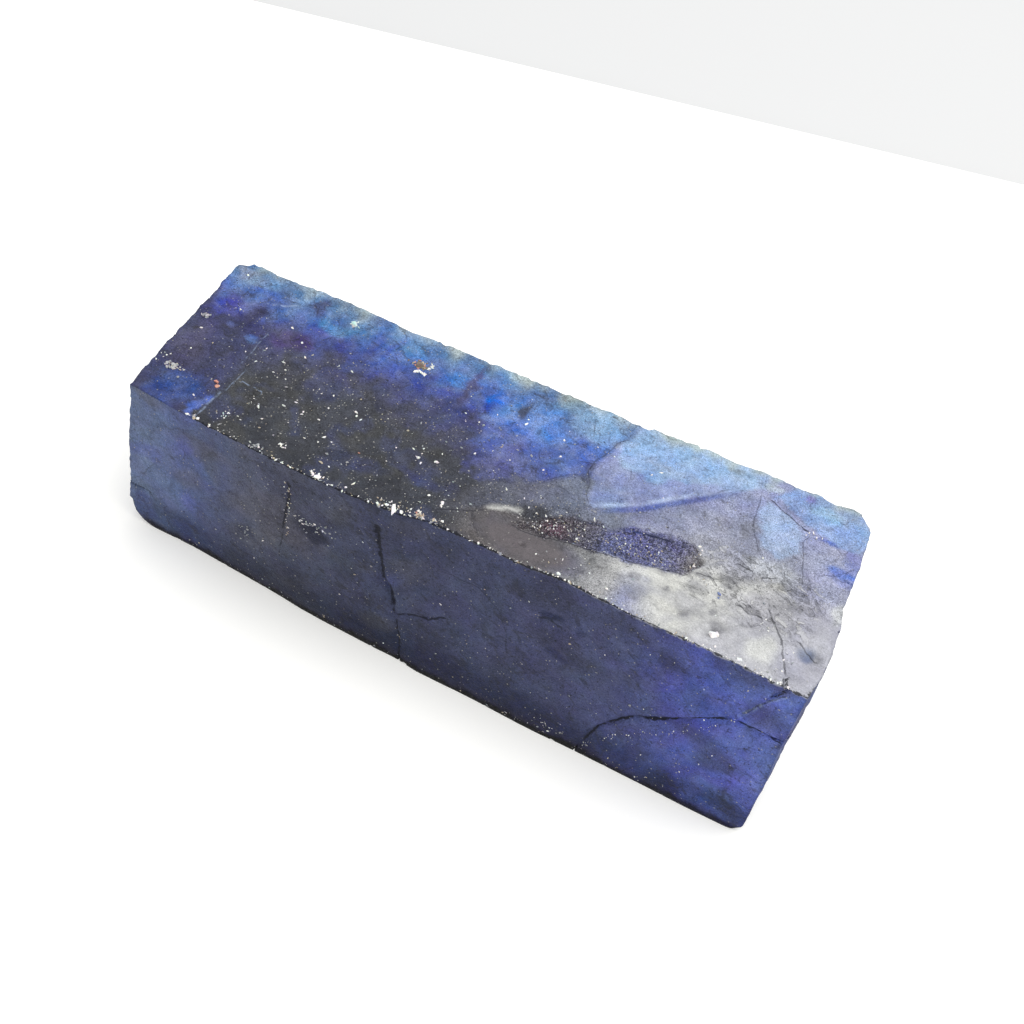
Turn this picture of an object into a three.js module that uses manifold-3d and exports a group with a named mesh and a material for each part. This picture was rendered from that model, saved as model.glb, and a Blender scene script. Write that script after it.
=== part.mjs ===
// A chunk of rough sapphire: one bar of deep blue corundum. Its long sides are sawn or cleaved
// nearly flat, its ends are broken, and it lies on a flat sawn underside.
// Millimetres. +X runs along the bar, +Y to its back side, +Z up. The origin is the middle of
// the box around the bar, at the underside.

import * as THREE from 'three';
import { mergeVertices } from 'three/addons/utils/BufferGeometryUtils.js';
import Module from 'manifold-3d';

const wasm = await Module();
wasm.setup();

// ---------------------------------------------------------------- driving dimensions

const LENGTH = 70; // between the nominal end planes
const WIDTH = 23; // between the nominal front and back planes
const HEIGHT = 20.2; // underside to the middle of the top
const TOP_RISE = 0.02; // climb of the top towards +X, mm per mm
const TOP_LEAN = 0.01; // climb of the top towards +Y, mm per mm

const OVERRUN = 6; // how far each side's sheet runs past the bar
const SIDE_CELL = 2.3; // grid of the long sides
const END_CELL = 1.9; // grid of the broken ends
const PLAIN_CELL = 2.5; // grid of the plain left part of the top
const RELIEF_CELL = 1.25; // grid of the rougher right part of the top
const RELIEF_START = -3; // where the rougher part of the top begins, along X

const SAW_WAVE = 0.1; // height of the long swells left on a sawn side
const SAW_WAVE_SIZE = 6; // and their spacing
const BREAK_WAVE = 0.2; // the same on a broken end
const BREAK_WAVE_SIZE = 3.2;

// ---------------------------------------------------------------- the edges of the bar
// Each list follows one edge: where along it, and how far it stands proud of its nominal plane.

const FRONT_BROW = [
	[-34, -0.6], [-28, 0], [-20, 0.4], [-13, 0.65], [-8, 0.6], [-4.3, 0.35],
	[-1.8, -0.55], [5, -0.7], [7.5, -0.2], [11, -0.7], [19, -0.1], [28, 0], [35, 0.1],
];
const FRONT_FOOT = [
	[-33, -0.95], [-27.8, -0.95], [-12.7, 0.25], [-5.4, 0.45], [-2.2, 0.5], [-1, 0.8], [12.7, 1.1], [34, 1.25],
];
const BACK_BROW = [
	[-35, -0.4], [-25, -0.2], [-17.6, -0.2], [-15.8, -0.6], [-13, -0.1], [-1.4, 0.1], [2.8, -0.05],
	[8, 0.25], [9.1, -0.15], [10.6, 0.4], [16.2, 0.8], [20.3, 0.7], [24.3, 1], [27.2, 0.75], [30, 1], [35, 0.7],
];
const BACK_FOOT = [[-35, -0.1], [-22, 0.3], [-8, 0], [4, 0.2], [18, 0.7], [35, 0.4]];
const LEFT_BROW = [[-11, -0.55], [-8.6, -0.3], [-4, -0.1], [0, 0], [9, 0.6], [12, 0.4]];
const LEFT_FOOT = [[-11, 0.25], [-3, 0.1], [4, 0.3], [12, 0]];
const RIGHT_BROW = [
	[-11.6, 0.3], [-9.7, 0.6], [-6.6, 0.95], [-2.2, 0.6], [-0.6, -0.15], [1, 0.1],
	[5.4, 0], [10.4, -0.4], [12.5, -0.9],
];
const RIGHT_FOOT = [[-12, 0.1], [-6, 0.4], [0, -0.2], [6, 0.1], [12, -0.4]];

// ---------------------------------------------------------------- small tools

// A repeatable stream of random numbers between 0 and 1.
function dice(seed) {
	let state = seed;
	return () => {
		state = (state + 0x6d2b79f5) | 0;
		let t = Math.imul(state ^ (state >>> 15), 1 | state);
		t = (t + Math.imul(t ^ (t >>> 7), 61 | t)) ^ t;
		return ((t ^ (t >>> 14)) >>> 0) / 4294967296;
	};
}

// Smooth random swells between -1 and 1.
function swell(x, y, seed) {
	const corner = (i, j) => {
		const wild = Math.sin(i * 127.1 + j * 311.7 + seed * 74.7) * 43758.5453;
		return 2 * (wild - Math.floor(wild)) - 1;
	};
	const i = Math.floor(x);
	const j = Math.floor(y);
	const u = THREE.MathUtils.smootherstep(x - i, 0, 1);
	const v = THREE.MathUtils.smootherstep(y - j, 0, 1);
	const low = THREE.MathUtils.lerp(corner(i, j), corner(i + 1, j), u);
	const high = THREE.MathUtils.lerp(corner(i, j + 1), corner(i + 1, j + 1), u);
	return THREE.MathUtils.lerp(low, high, v);
}

// The value of a list of [place, value] pairs at a place, straight between its points.
function along(list, place) {
	let k = 1;
	while (k < list.length - 1 && list[k][0] < place) k += 1;
	const [a, from] = list[k - 1];
	const [b, to] = list[k];
	return THREE.MathUtils.lerp(from, to, THREE.MathUtils.clamp((place - a) / (b - a), 0, 1));
}

// How near a place is to a path of points in its plane, and on which side of it.
function offPath(path, x, y) {
	let best = { distance: Infinity, side: 1 };
	for (let k = 1; k < path.length; k += 1) {
		const [ax, ay] = path[k - 1];
		const [bx, by] = path[k];
		const dx = bx - ax;
		const dy = by - ay;
		const t = THREE.MathUtils.clamp(((x - ax) * dx + (y - ay) * dy) / (dx * dx + dy * dy), 0, 1);
		const distance = Math.hypot(x - ax - t * dx, y - ay - t * dy);
		if (distance < best.distance) best = { distance, side: Math.sign(dx * (y - ay) - dy * (x - ax)) };
	}
	return best;
}

// 1 in the middle of a round patch, falling smoothly to 0 at its rim.
function mound(x, y, [cx, cy], radiusX, radiusY = radiusX) {
	const r = Math.hypot((x - cx) / radiusX, (y - cy) / radiusY);
	return r < 1 ? (1 - r * r) ** 2 : 0;
}

// ---------------------------------------------------------------- relief of the top

const RIDGE = [
	[-2.6, -9.5], [0.9, -6.6], [2.4, -5.1], [4.5, -4.2], [9.8, -1.7], [14.4, 1.7], [18.7, 5.6], [20.6, 7.7],
];
const RIDGE_DROP = 0.28; // the ground in front of the ridge lies this much lower
const RIDGE_CREST = 0.2; // and its crest stands this much proud
const LEDGE = [[10, -1.1], [9, 0], [8.7, 1.7], [7.9, 3.1], [7.8, 4.6], [8.7, 6.8], [8.7, 8.3], [9.7, 9.6]];
const LEDGE_DROP = 0.2; // the ground right of the ledge lies this much lower
const LEDGE_FADE = 9; // and climbs back over this length
const CHIP_RISE = 0.35; // swelling of the bubbly corner at the front right

// Smooth lumps of the bubbly corner: place, radius, height.
const LUMPS = [
	{ at: [22.4, -6.2], radius: 2.3, height: 0.3 },
	{ at: [25.6, -6.9], radius: 1.7, height: 0.42 },
	{ at: [26.6, -2.9], radius: 2, height: 0.4 },
	{ at: [23.2, -2.4], radius: 1.5, height: 0.25 },
	{ at: [29.4, -0.7], radius: 1.9, height: 0.3 },
	{ at: [30.6, -8.9], radius: 1.6, height: 0.32 },
	{ at: [28.4, -9.2], radius: 1.4, height: 0.25 },
	{ at: [33.3, -3.6], radius: 2.2, height: 0.4 },
	{ at: [18.4, -8.6], radius: 2.6, height: 0.2 },
	{ at: [14.2, -8.4], radius: 2.2, height: 0.16 },
];
// Hollows between them, and a dent in the right edge.
const DIPS = [
	{ at: [24.1, -4.4], radius: 1.5, height: -0.35 },
	{ at: [28.1, -5.2], radius: 1.6, height: -0.42 },
	{ at: [20.6, -9.2], radius: 1.5, height: -0.2 },
	{ at: [30.8, -4.9], radius: 1.3, height: -0.4 },
	{ at: [34.8, -7.3], radius: 2, height: -0.9 },
	{ at: [32.2, -10.2], radius: 1.5, height: -0.35 },
	{ at: [35.2, -0.6], radius: 1.4, height: -0.5 },
];

function ridgeRelief(x, y) {
	const { distance, side } = offPath(RIDGE, x, y);
	const ends = THREE.MathUtils.smoothstep(x, -4, 1) * (1 - THREE.MathUtils.smoothstep(x, 20, 26));
	const crest = RIDGE_CREST * Math.exp(-((distance / 0.9) ** 2));
	const drop = side < 0 ? RIDGE_DROP * Math.exp(-distance / 4.5) : 0;
	return ends * (crest - drop);
}

function ledgeRelief(x, y) {
	const { distance, side } = offPath(LEDGE, x, y);
	const behindRidge = THREE.MathUtils.smoothstep(y, -2, 0.5);
	return side < 0 ? -LEDGE_DROP * behindRidge * Math.max(0, 1 - distance / LEDGE_FADE) : 0;
}

function topHeight(x, y) {
	let z = HEIGHT + TOP_RISE * x + TOP_LEAN * y;
	z += SAW_WAVE * swell(x / SAW_WAVE_SIZE, y / SAW_WAVE_SIZE, 1);
	if (x > RELIEF_START) {
		z += ridgeRelief(x, y) + ledgeRelief(x, y);
		z += CHIP_RISE * mound(x, y, [27, -8], 12, 8);
		for (const { at, radius, height } of [...LUMPS, ...DIPS]) z += height * mound(x, y, at, radius);
	}
	return z;
}

// ---------------------------------------------------------------- the four standing sides

function sawnSide(brow, foot, seed) {
	return (x, z) => {
		const lean = THREE.MathUtils.lerp(along(foot, x), along(brow, x), z / HEIGHT);
		return WIDTH / 2 + lean + SAW_WAVE * swell(x / SAW_WAVE_SIZE, z / SAW_WAVE_SIZE, seed);
	};
}

function brokenEnd(brow, foot, seed) {
	return (y, z) => {
		const lean = THREE.MathUtils.lerp(along(foot, y), along(brow, y), z / HEIGHT);
		return LENGTH / 2 + lean + BREAK_WAVE * swell(y / BREAK_WAVE_SIZE, z / BREAK_WAVE_SIZE, seed);
	};
}

const frontOut = sawnSide(FRONT_BROW, FRONT_FOOT, 2);
const backOut = sawnSide(BACK_BROW, BACK_FOOT, 3);
const leftOut = brokenEnd(LEFT_BROW, LEFT_FOOT, 4);
const rightOut = brokenEnd(RIGHT_BROW, RIGHT_FOOT, 6);

// Every side as a sheet: a point on it from its two running coordinates, and its way out.
const TOP = { on: (x, y) => new THREE.Vector3(x, y, topHeight(x, y)), out: new THREE.Vector3(0, 0, 1) };
const FRONT = {
	on: (x, z) => new THREE.Vector3(x, -frontOut(x, z), z),
	out: new THREE.Vector3(0, -1, 0),
};
const BACK = { on: (x, z) => new THREE.Vector3(x, backOut(x, z), z), out: new THREE.Vector3(0, 1, 0) };
const LEFT = { on: (y, z) => new THREE.Vector3(-leftOut(y, z), y, z), out: new THREE.Vector3(-1, 0, 0) };
const RIGHT = { on: (y, z) => new THREE.Vector3(rightOut(y, z), y, z), out: new THREE.Vector3(1, 0, 0) };

// ---------------------------------------------------------------- solids

function solidOf(geometry) {
	const bare = geometry.clone();
	bare.deleteAttribute('normal');
	bare.deleteAttribute('uv');
	const merged = mergeVertices(bare, 1e-4);
	return new wasm.Manifold(new wasm.Mesh({
		numProp: 3,
		vertProperties: new Float32Array(merged.attributes.position.array),
		triVerts: new Uint32Array(merged.index.array),
	}));
}

// A closed body from its points and triangles, turned the right way out.
function closedBody(points, faces) {
	const cross = new THREE.Vector3();
	let volume = 0;
	for (const [a, b, c] of faces) volume += cross.crossVectors(points[b], points[c]).dot(points[a]);
	const index = volume < 0 ? faces.map(([a, b, c]) => [a, c, b]) : faces;
	const geometry = new THREE.BufferGeometry().setFromPoints(points);
	geometry.setIndex(index.flat());
	return solidOf(geometry);
}

function gridLines(from, to, cell) {
	const count = Math.round((to - from) / cell);
	return Array.from({ length: count + 1 }, (_, k) => from + ((to - from) * k) / count);
}

// All the room behind one side: its relief in front, a flat back at the given depth along -out.
function behind(sheet, us, vs, depth) {
	const points = [];
	const faces = [];
	for (const u of us) {
		for (const v of vs) points.push(sheet.on(u, v));
	}
	const near = (i, j) => i * vs.length + j;
	for (let i = 1; i < us.length; i += 1) {
		for (let j = 1; j < vs.length; j += 1) {
			const quad = [near(i - 1, j - 1), near(i, j - 1), near(i, j), near(i - 1, j)];
			const turn = (i + j) % 2;
			faces.push([quad[turn], quad[turn + 1], quad[turn + 2]]);
			faces.push([quad[turn], quad[turn + 2], quad[(turn + 3) % 4]]);
		}
	}
	const rim = [];
	for (let i = 0; i < us.length - 1; i += 1) rim.push(near(i, 0));
	for (let j = 0; j < vs.length - 1; j += 1) rim.push(near(us.length - 1, j));
	for (let i = us.length - 1; i > 0; i -= 1) rim.push(near(i, vs.length - 1));
	for (let j = vs.length - 1; j > 0; j -= 1) rim.push(near(0, j));
	const flat = (point) => point.clone().addScaledVector(sheet.out, depth - point.dot(sheet.out));
	const first = points.length;
	for (const k of rim) points.push(flat(points[k]));
	const hub = points.length;
	points.push(flat(sheet.on((us[0] + us.at(-1)) / 2, (vs[0] + vs.at(-1)) / 2)));
	for (let k = 0; k < rim.length; k += 1) {
		const next = (k + 1) % rim.length;
		faces.push([rim[next], rim[k], first + k]);
		faces.push([rim[next], first + k, first + next]);
		faces.push([hub, first + next, first + k]);
	}
	return closedBody(points, faces);
}

const endX = LENGTH / 2 + OVERRUN;
const endY = WIDTH / 2 + OVERRUN;
const columns = [
	...gridLines(-endX, RELIEF_START, PLAIN_CELL).slice(0, -1),
	...gridLines(RELIEF_START, endX, RELIEF_CELL),
];
const risers = (cell) => gridLines(-OVERRUN, HEIGHT + OVERRUN, cell);

let stone = behind(TOP, columns, gridLines(-endY, endY, RELIEF_CELL), 0);
stone = stone.intersect(behind(FRONT, gridLines(-endX, endX, SIDE_CELL), risers(SIDE_CELL), -endY));
stone = stone.intersect(behind(BACK, gridLines(-endX, endX, SIDE_CELL), risers(SIDE_CELL), -endY));
stone = stone.intersect(behind(LEFT, gridLines(-endY, endY, END_CELL), risers(END_CELL), -endX));
stone = stone.intersect(behind(RIGHT, gridLines(-endY, endY, END_CELL), risers(END_CELL), -endX));

// ---------------------------------------------------------------- partings
// Thin wedges that have come off the broken ends and the back along flat planes. Each leaves two
// ledges that meet at a corner, deepest there, and fades out the way it points.

const PARTINGS = [
	{ sheet: RIGHT, at: [3, 15.5], away: [0.3, -1], depth: 0.9, tilt: 5 },
	{ sheet: RIGHT, at: [-4.5, 9], away: [-0.2, -1], depth: 0.6, tilt: 6 },
	{ sheet: RIGHT, at: [6.5, 7], away: [0.6, -1], depth: 0.6, tilt: 6 },
	{ sheet: LEFT, at: [1, 14.5], away: [0.2, -1], depth: 0.8, tilt: 5 },
	{ sheet: LEFT, at: [-5, 7], away: [-0.3, -1], depth: 0.5, tilt: 5 },
	{ sheet: BACK, at: [13, 14], away: [0.3, -1], depth: 0.6, tilt: 3.5 },
	{ sheet: BACK, at: [-17, 13], away: [-0.4, -1], depth: 0.5, tilt: 3 },
];

function partingCutter({ sheet, at, away, depth, tilt }) {
	const size = 60;
	const box = new THREE.BoxGeometry(size, size, size);
	box.translate(size / 2, size / 2, size / 2);
	box.rotateZ(-Math.PI / 4);
	const corner = sheet.on(...at);
	const level = sheet.on(at[0] + away[0], at[1] + away[1]).sub(corner);
	level.addScaledVector(sheet.out, -level.dot(sheet.out)).normalize();
	const angle = THREE.MathUtils.degToRad(tilt);
	const run = level.clone().multiplyScalar(Math.cos(angle)).addScaledVector(sheet.out, Math.sin(angle));
	const rise = sheet.out.clone().multiplyScalar(Math.cos(angle)).addScaledVector(level, -Math.sin(angle));
	box.applyMatrix4(new THREE.Matrix4().makeBasis(run, rise.clone().cross(run), rise));
	corner.addScaledVector(sheet.out, -depth);
	box.translate(corner.x, corner.y, corner.z);
	return solidOf(box);
}
for (const parting of PARTINGS) stone = stone.subtract(partingCutter(parting));

// ---------------------------------------------------------------- the feather and the spoon

// The feather: a long shallow hollow in the top, deepest along its front rim.
const FEATHER = { tail: [3.7, -6.5], heading: 14, length: 19, width: 4.2, depth: 0.42 };

function featherCutter({ tail, heading, length, width, depth }) {
	const outline = new THREE.Shape();
	outline.moveTo(0, 0);
	outline.bezierCurveTo(length * 0.3, width * 0.45, length * 0.5, width * 0.62, length * 0.86, width * 0.5);
	outline.quadraticCurveTo(length * 1.02, width * 0.3, length * 0.95, -width * 0.18);
	outline.quadraticCurveTo(length * 0.86, -width * 0.34, length * 0.7, -width * 0.3);
	outline.lineTo(length * 0.36, -width * 0.24);
	outline.closePath();
	const prism = new THREE.ExtrudeGeometry(outline, { depth: 3, bevelEnabled: false, curveSegments: 5 });
	prism.rotateX(Math.atan(depth / width));
	prism.rotateZ(THREE.MathUtils.degToRad(heading));
	prism.translate(tail[0], tail[1], topHeight(...tail) - depth / 2);
	return solidOf(prism);
}
stone = stone.subtract(featherCutter(FEATHER));

// The spoon: a smooth shell-shaped scar at the front of the top.
const SPOON = { at: [4, -7.9], bite: 0.48, radius: 11, stretch: 1.45 };

function spoonCutter({ at, bite, radius, stretch }) {
	const bowl = new THREE.SphereGeometry(radius, 40, 28);
	bowl.rotateX(Math.PI / 2);
	bowl.scale(stretch, 1, 1);
	bowl.rotateZ(THREE.MathUtils.degToRad(12));
	bowl.translate(at[0], at[1], topHeight(...at) + radius - bite);
	return solidOf(bowl);
}
stone = stone.subtract(spoonCutter(SPOON));

// ---------------------------------------------------------------- cracks and scratches

// Each crack: the side it is in, its mouth width, its depth and its path on that side.
const CRACKS = [
	{ sheet: FRONT, width: 0.5, depth: 0.8, path: [
		[-6.7, 17.4], [-5.8, 12.3], [-5.4, 10.2], [-4.3, 9.3], [-3.5, 6.1], [-2.8, 3.4], [-2.1, -0.4],
	] },
	{ sheet: FRONT, width: 0.35, depth: 0.45, path: [[-3.4, 6.2], [-1.5, 7.3], [-0.2, 7.7], [1.8, 9.1]] },
	{ sheet: FRONT, width: 0.35, depth: 0.45, path: [[-16.2, 18], [-16.1, 15.4], [-16.6, 12.9], [-16.7, 8]] },
	{ sheet: FRONT, width: 0.5, depth: 0.7, path: [
		[17.5, -0.4], [18, 3.1], [19.8, 6], [21.9, 8.3], [25.7, 10.6], [27.5, 12], [30.2, 14.4],
	] },
	{ sheet: FRONT, width: 0.4, depth: 0.5, path: [[30.2, 14.4], [32.4, 18.2], [33.8, 20.8]] },
	{ sheet: FRONT, width: 0.35, depth: 0.5, path: [[30.2, 14.4], [32, 14.1], [33.7, 14.4], [36, 14.2]] },
	{ sheet: FRONT, width: 0.35, depth: 0.4, path: [[-35.2, 5.3], [-33.7, 5], [-32.2, 5.1]] },
	{ sheet: FRONT, width: 0.3, depth: 0.3, path: [[10, 14.8], [12.7, 14.5]] },
	{ sheet: TOP, width: 0.4, depth: 0.4, path: RIDGE.slice(4).map(([x, y]) => [x + 0.35, y - 0.35]) },
	{ sheet: TOP, width: 0.35, depth: 0.4, path: LEDGE },
	{ sheet: TOP, width: 0.3, depth: 0.3, path: [[8, 2.7], [6.3, 1.5], [4.6, -0.5], [2.9, -1.6]] },
	{ sheet: TOP, width: 0.5, depth: 0.6, path: [[23.2, 11], [25.9, 9.1], [28.2, 8], [31, 6.5]] },
	{ sheet: TOP, width: 0.55, depth: 0.6, path: [[29.3, -3.3], [30.9, -6.1], [32, -8.6], [33.4, -11.6]] },
	{ sheet: TOP, width: 0.4, depth: 0.4, path: [[30.9, 2.6], [33, 3], [36, 3.4]] },
	{ sheet: RIGHT, width: 0.5, depth: 0.8, path: [[-12.4, 14.1], [-6, 12.6], [-1, 9], [3, 4.4], [4.4, 0]] },
	{ sheet: BACK, width: 0.45, depth: 0.6, path: [[23, 20.6], [21, 15], [16.5, 11.5], [14.8, 5], [12, -0.4]] },
	{ sheet: BACK, width: 0.4, depth: 0.5, path: [[-12.6, 20.4], [-11, 13], [-13.8, 7.5]] },
	{ sheet: LEFT, width: 0.45, depth: 0.6, path: [[-11.4, 5.4], [-5, 7], [1, 11.8], [5.5, 13]] },
];

const CRACK_STEP = 1.6; // length of one straight stretch of a crack
const CRACK_STRAY = 0.14; // how far its kinks leave the path
const CRACK_LIFT = 0.6; // how far the cutter stands above the surface

// A V-shaped groove that narrows to both of its ends.
function crackCutter({ sheet, width, depth, path }, random) {
	const route = new THREE.CurvePath();
	for (let k = 1; k < path.length; k += 1) {
		route.add(new THREE.LineCurve(new THREE.Vector2(...path[k - 1]), new THREE.Vector2(...path[k])));
	}
	const count = Math.max(3, Math.round(route.getLength() / CRACK_STEP));
	const centres = [];
	for (let k = 0; k <= count; k += 1) {
		const spot = route.getPointAt(k / count);
		const stray = () => CRACK_STRAY * (2 * random() - 1);
		centres.push(sheet.on(spot.x + stray(), spot.y + stray()));
	}
	const points = [];
	const faces = [];
	centres.forEach((centre, k) => {
		const ahead = centres[Math.min(k + 1, count)].clone().sub(centres[Math.max(k - 1, 0)]);
		const across = ahead.cross(sheet.out).normalize();
		const size = 0.3 + 0.7 * Math.sin((Math.PI * (k + 0.6)) / (count + 1.2));
		const mouth = (width / 2) * size * (1 + CRACK_LIFT / depth);
		const lip = centre.clone().addScaledVector(sheet.out, CRACK_LIFT * size);
		points.push(lip.clone().addScaledVector(across, mouth));
		points.push(lip.clone().addScaledVector(across, -mouth));
		points.push(centre.clone().addScaledVector(sheet.out, -depth * size));
	});
	for (let k = 0; k < count; k += 1) {
		for (let side = 0; side < 3; side += 1) {
			const a = 3 * k + side;
			const b = 3 * k + ((side + 1) % 3);
			faces.push([a, b, b + 3], [a, b + 3, a + 3]);
		}
	}
	faces.push([2, 1, 0], [3 * count, 3 * count + 1, 3 * count + 2]);
	return closedBody(points, faces);
}

const crackDice = dice(11);
for (const crack of CRACKS) stone = stone.subtract(crackCutter(crack, crackDice));

// ---------------------------------------------------------------- chips and pits

const FINE_BITE = 1.6; // cutters of a larger radius than this have four times the facets

// A rough pebble-shaped cutter that bites into the stone at a point, from outside.
function biteCutter(at, outward, bite, radius, stretch, random) {
	const pebble = new THREE.IcosahedronGeometry(radius, radius > FINE_BITE ? 1 : 0);
	pebble.deleteAttribute('normal');
	pebble.deleteAttribute('uv');
	const lumpy = mergeVertices(pebble, 1e-4);
	const place = lumpy.attributes.position;
	for (let k = 0; k < place.count; k += 1) {
		const size = 1 + 0.16 * (random() - 0.5);
		place.setXYZ(k, place.getX(k) * size, place.getY(k) * size, place.getZ(k) * size);
	}
	lumpy.rotateX(6.28 * random());
	lumpy.rotateZ(6.28 * random());
	lumpy.scale(...stretch);
	const reach = Math.hypot(outward.x * stretch[0], outward.y * stretch[1], outward.z * stretch[2]) * radius;
	const centre = at.clone().addScaledVector(outward, reach - bite);
	lumpy.translate(centre.x, centre.y, centre.z);
	return solidOf(lumpy);
}

// A point where two sides meet, found by going back and forth between them.
const onBrow = (out, sign) => (x) => {
	const y = sign * out(x, topHeight(x, (sign * WIDTH) / 2));
	return new THREE.Vector3(x, y, topHeight(x, y));
};
const onEndBrow = (out, sign) => (y) => {
	const x = sign * out(y, topHeight((sign * LENGTH) / 2, y));
	return new THREE.Vector3(x, y, topHeight(x, y));
};
const onPost = (endOut, endSign, sideOut, sideSign) => (z) => {
	const x = endSign * endOut((sideSign * WIDTH) / 2, z);
	return new THREE.Vector3(x, sideSign * sideOut(x, z), z);
};
const direction = (x, y, z) => new THREE.Vector3(x, y, z).normalize();

// The twelve edges: a point on each, its way out, its span, and how many chips of what bite.
const EDGES = [
	{ on: onBrow(frontOut, -1), out: direction(0, -1, 1), span: [-34, 34], chips: 20, bite: [0.06, 0.2] },
	{ on: onBrow(backOut, 1), out: direction(0, 1, 1), span: [-33, 33], chips: 18, bite: [0.12, 0.42] },
	{ on: onEndBrow(leftOut, -1), out: direction(-1, 0, 1), span: [-10, 10], chips: 6, bite: [0.1, 0.35] },
	{ on: onEndBrow(rightOut, 1), out: direction(1, 0, 1), span: [-11, 11], chips: 9, bite: [0.15, 0.45] },
	{ on: (x) => FRONT.on(x, 0), out: direction(0, -1, -1), span: [-32, 33], chips: 9, bite: [0.1, 0.3] },
	{ on: (x) => BACK.on(x, 0), out: direction(0, 1, -1), span: [-32, 33], chips: 10, bite: [0.15, 0.5] },
	{ on: (y) => LEFT.on(y, 0), out: direction(-1, 0, -1), span: [-10, 10], chips: 4, bite: [0.2, 0.5] },
	{ on: (y) => RIGHT.on(y, 0), out: direction(1, 0, -1), span: [-11, 11], chips: 5, bite: [0.2, 0.5] },
	{
		on: onPost(leftOut, -1, frontOut, -1), out: direction(-1, -1, 0),
		span: [2, 19], chips: 6, bite: [0.1, 0.3],
	},
	{
		on: onPost(rightOut, 1, frontOut, -1), out: direction(1, -1, 0),
		span: [2, 19], chips: 8, bite: [0.1, 0.35],
	},
	{
		on: onPost(leftOut, -1, backOut, 1), out: direction(-1, 1, 0),
		span: [2, 18], chips: 4, bite: [0.2, 0.5],
	},
	{
		on: onPost(rightOut, 1, backOut, 1), out: direction(1, 1, 0),
		span: [2, 18], chips: 5, bite: [0.2, 0.5],
	},
];

const chipDice = dice(23);
for (const { on, out, span, chips, bite } of EDGES) {
	for (let k = 0; k < chips; k += 1) {
		const place = THREE.MathUtils.lerp(span[0], span[1], (k + 0.15 + 0.7 * chipDice()) / chips);
		const depth = THREE.MathUtils.lerp(bite[0], bite[1], chipDice() ** 2);
		const radius = depth * (2.5 + 4 * chipDice());
		stone = stone.subtract(biteCutter(on(place), out, depth, radius, [1, 1, 1], chipDice));
	}
}

// Corners that have come off: where, the way out, how deep, how round, and stretched how.
const LOST_CORNERS = [
	{ at: [-35.4, 11.3, 20], out: direction(-1, 1, 0.05), bite: 1.1, radius: 3.4, stretch: [1, 1, 2.4] },
	{ at: [-35.2, 11.6, 8], out: direction(-1, 1, 0), bite: 0.9, radius: 3, stretch: [1, 1, 2.6] },
	{ at: [34.5, 12.2, 20], out: direction(1, 1, 0.05), bite: 1.15, radius: 3.4, stretch: [1, 1, 2.4] },
	{ at: [34.6, 12, 8], out: direction(1, 1, 0), bite: 0.9, radius: 3, stretch: [1, 1, 2.6] },
	{ at: [-35.2, -9, 0], out: direction(-1, -0.1, -1), bite: 1.1, radius: 3.4, stretch: [1, 2.2, 1] },
	{ at: [35.3, -11, 0], out: direction(1, -0.1, -1), bite: 1.1, radius: 3.2, stretch: [1, 2, 1] },
	{ at: [-35, 10.5, 0], out: direction(-1, 1, -1), bite: 1.5, radius: 4, stretch: [1, 1.2, 1] },
	{ at: [35, 12, 0], out: direction(1, 1, -1), bite: 1.7, radius: 4.5, stretch: [1.3, 1, 1] },
];
for (const { at, out, bite, radius, stretch } of LOST_CORNERS) {
	stone = stone.subtract(biteCutter(new THREE.Vector3(...at), out, bite, radius, stretch, chipDice));
}

// Small pits: the side, where on it, how wide and how deep.
const PITS = [
	{ sheet: TOP, at: [20.1, -6.4], radius: 0.5, bite: 0.3 },
	{ sheet: TOP, at: [24.6, -7.4], radius: 0.5, bite: 0.3 },
	{ sheet: TOP, at: [25.4, -9.3], radius: 0.8, bite: 0.45 },
	{ sheet: TOP, at: [26.5, -4.9], radius: 0.55, bite: 0.35 },
	{ sheet: TOP, at: [27.6, -4.5], radius: 0.5, bite: 0.3 },
	{ sheet: TOP, at: [27.9, -6.9], radius: 0.5, bite: 0.3 },
	{ sheet: TOP, at: [23.9, -0.8], radius: 0.45, bite: 0.25 },
	{ sheet: TOP, at: [7.4, -7.2], radius: 0.4, bite: 0.2 },
	{ sheet: TOP, at: [-32.4, -6.2], radius: 0.8, bite: 0.3 },
	{ sheet: TOP, at: [-12.4, 7.1], radius: 1, bite: 0.35 },
	{ sheet: FRONT, at: [-14.8, 12.2], radius: 1.1, bite: 0.5 },
	{ sheet: FRONT, at: [-13, 12.9], radius: 0.9, bite: 0.4 },
	{ sheet: FRONT, at: [-1.2, 12.6], radius: 0.6, bite: 0.3 },
	{ sheet: FRONT, at: [-21.2, 6.3], radius: 0.7, bite: 0.25 },
	{ sheet: BACK, at: [-4, 12], radius: 1.4, bite: 0.4 },
	{ sheet: BACK, at: [8, 6], radius: 1.1, bite: 0.35 },
	{ sheet: BACK, at: [-24, 9], radius: 1.2, bite: 0.3 },
	{ sheet: LEFT, at: [3, 6], radius: 1.5, bite: 0.4 },
	{ sheet: RIGHT, at: [-4, 6], radius: 1.6, bite: 0.45 },
];
for (const { sheet, at, radius, bite } of PITS) {
	stone = stone.subtract(biteCutter(sheet.on(...at), sheet.out, bite, radius, [1, 1, 1], chipDice));
}

// ---------------------------------------------------------------- the finished mesh

const cut = stone.getMesh();
const geometry = new THREE.BufferGeometry();
geometry.setAttribute('position', new THREE.BufferAttribute(cut.vertProperties, 3));
geometry.setIndex(new THREE.BufferAttribute(cut.triVerts, 1));
geometry.computeBoundingBox();
const middle = geometry.boundingBox.getCenter(new THREE.Vector3());
geometry.translate(-middle.x, -middle.y, -geometry.boundingBox.min.z);

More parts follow.
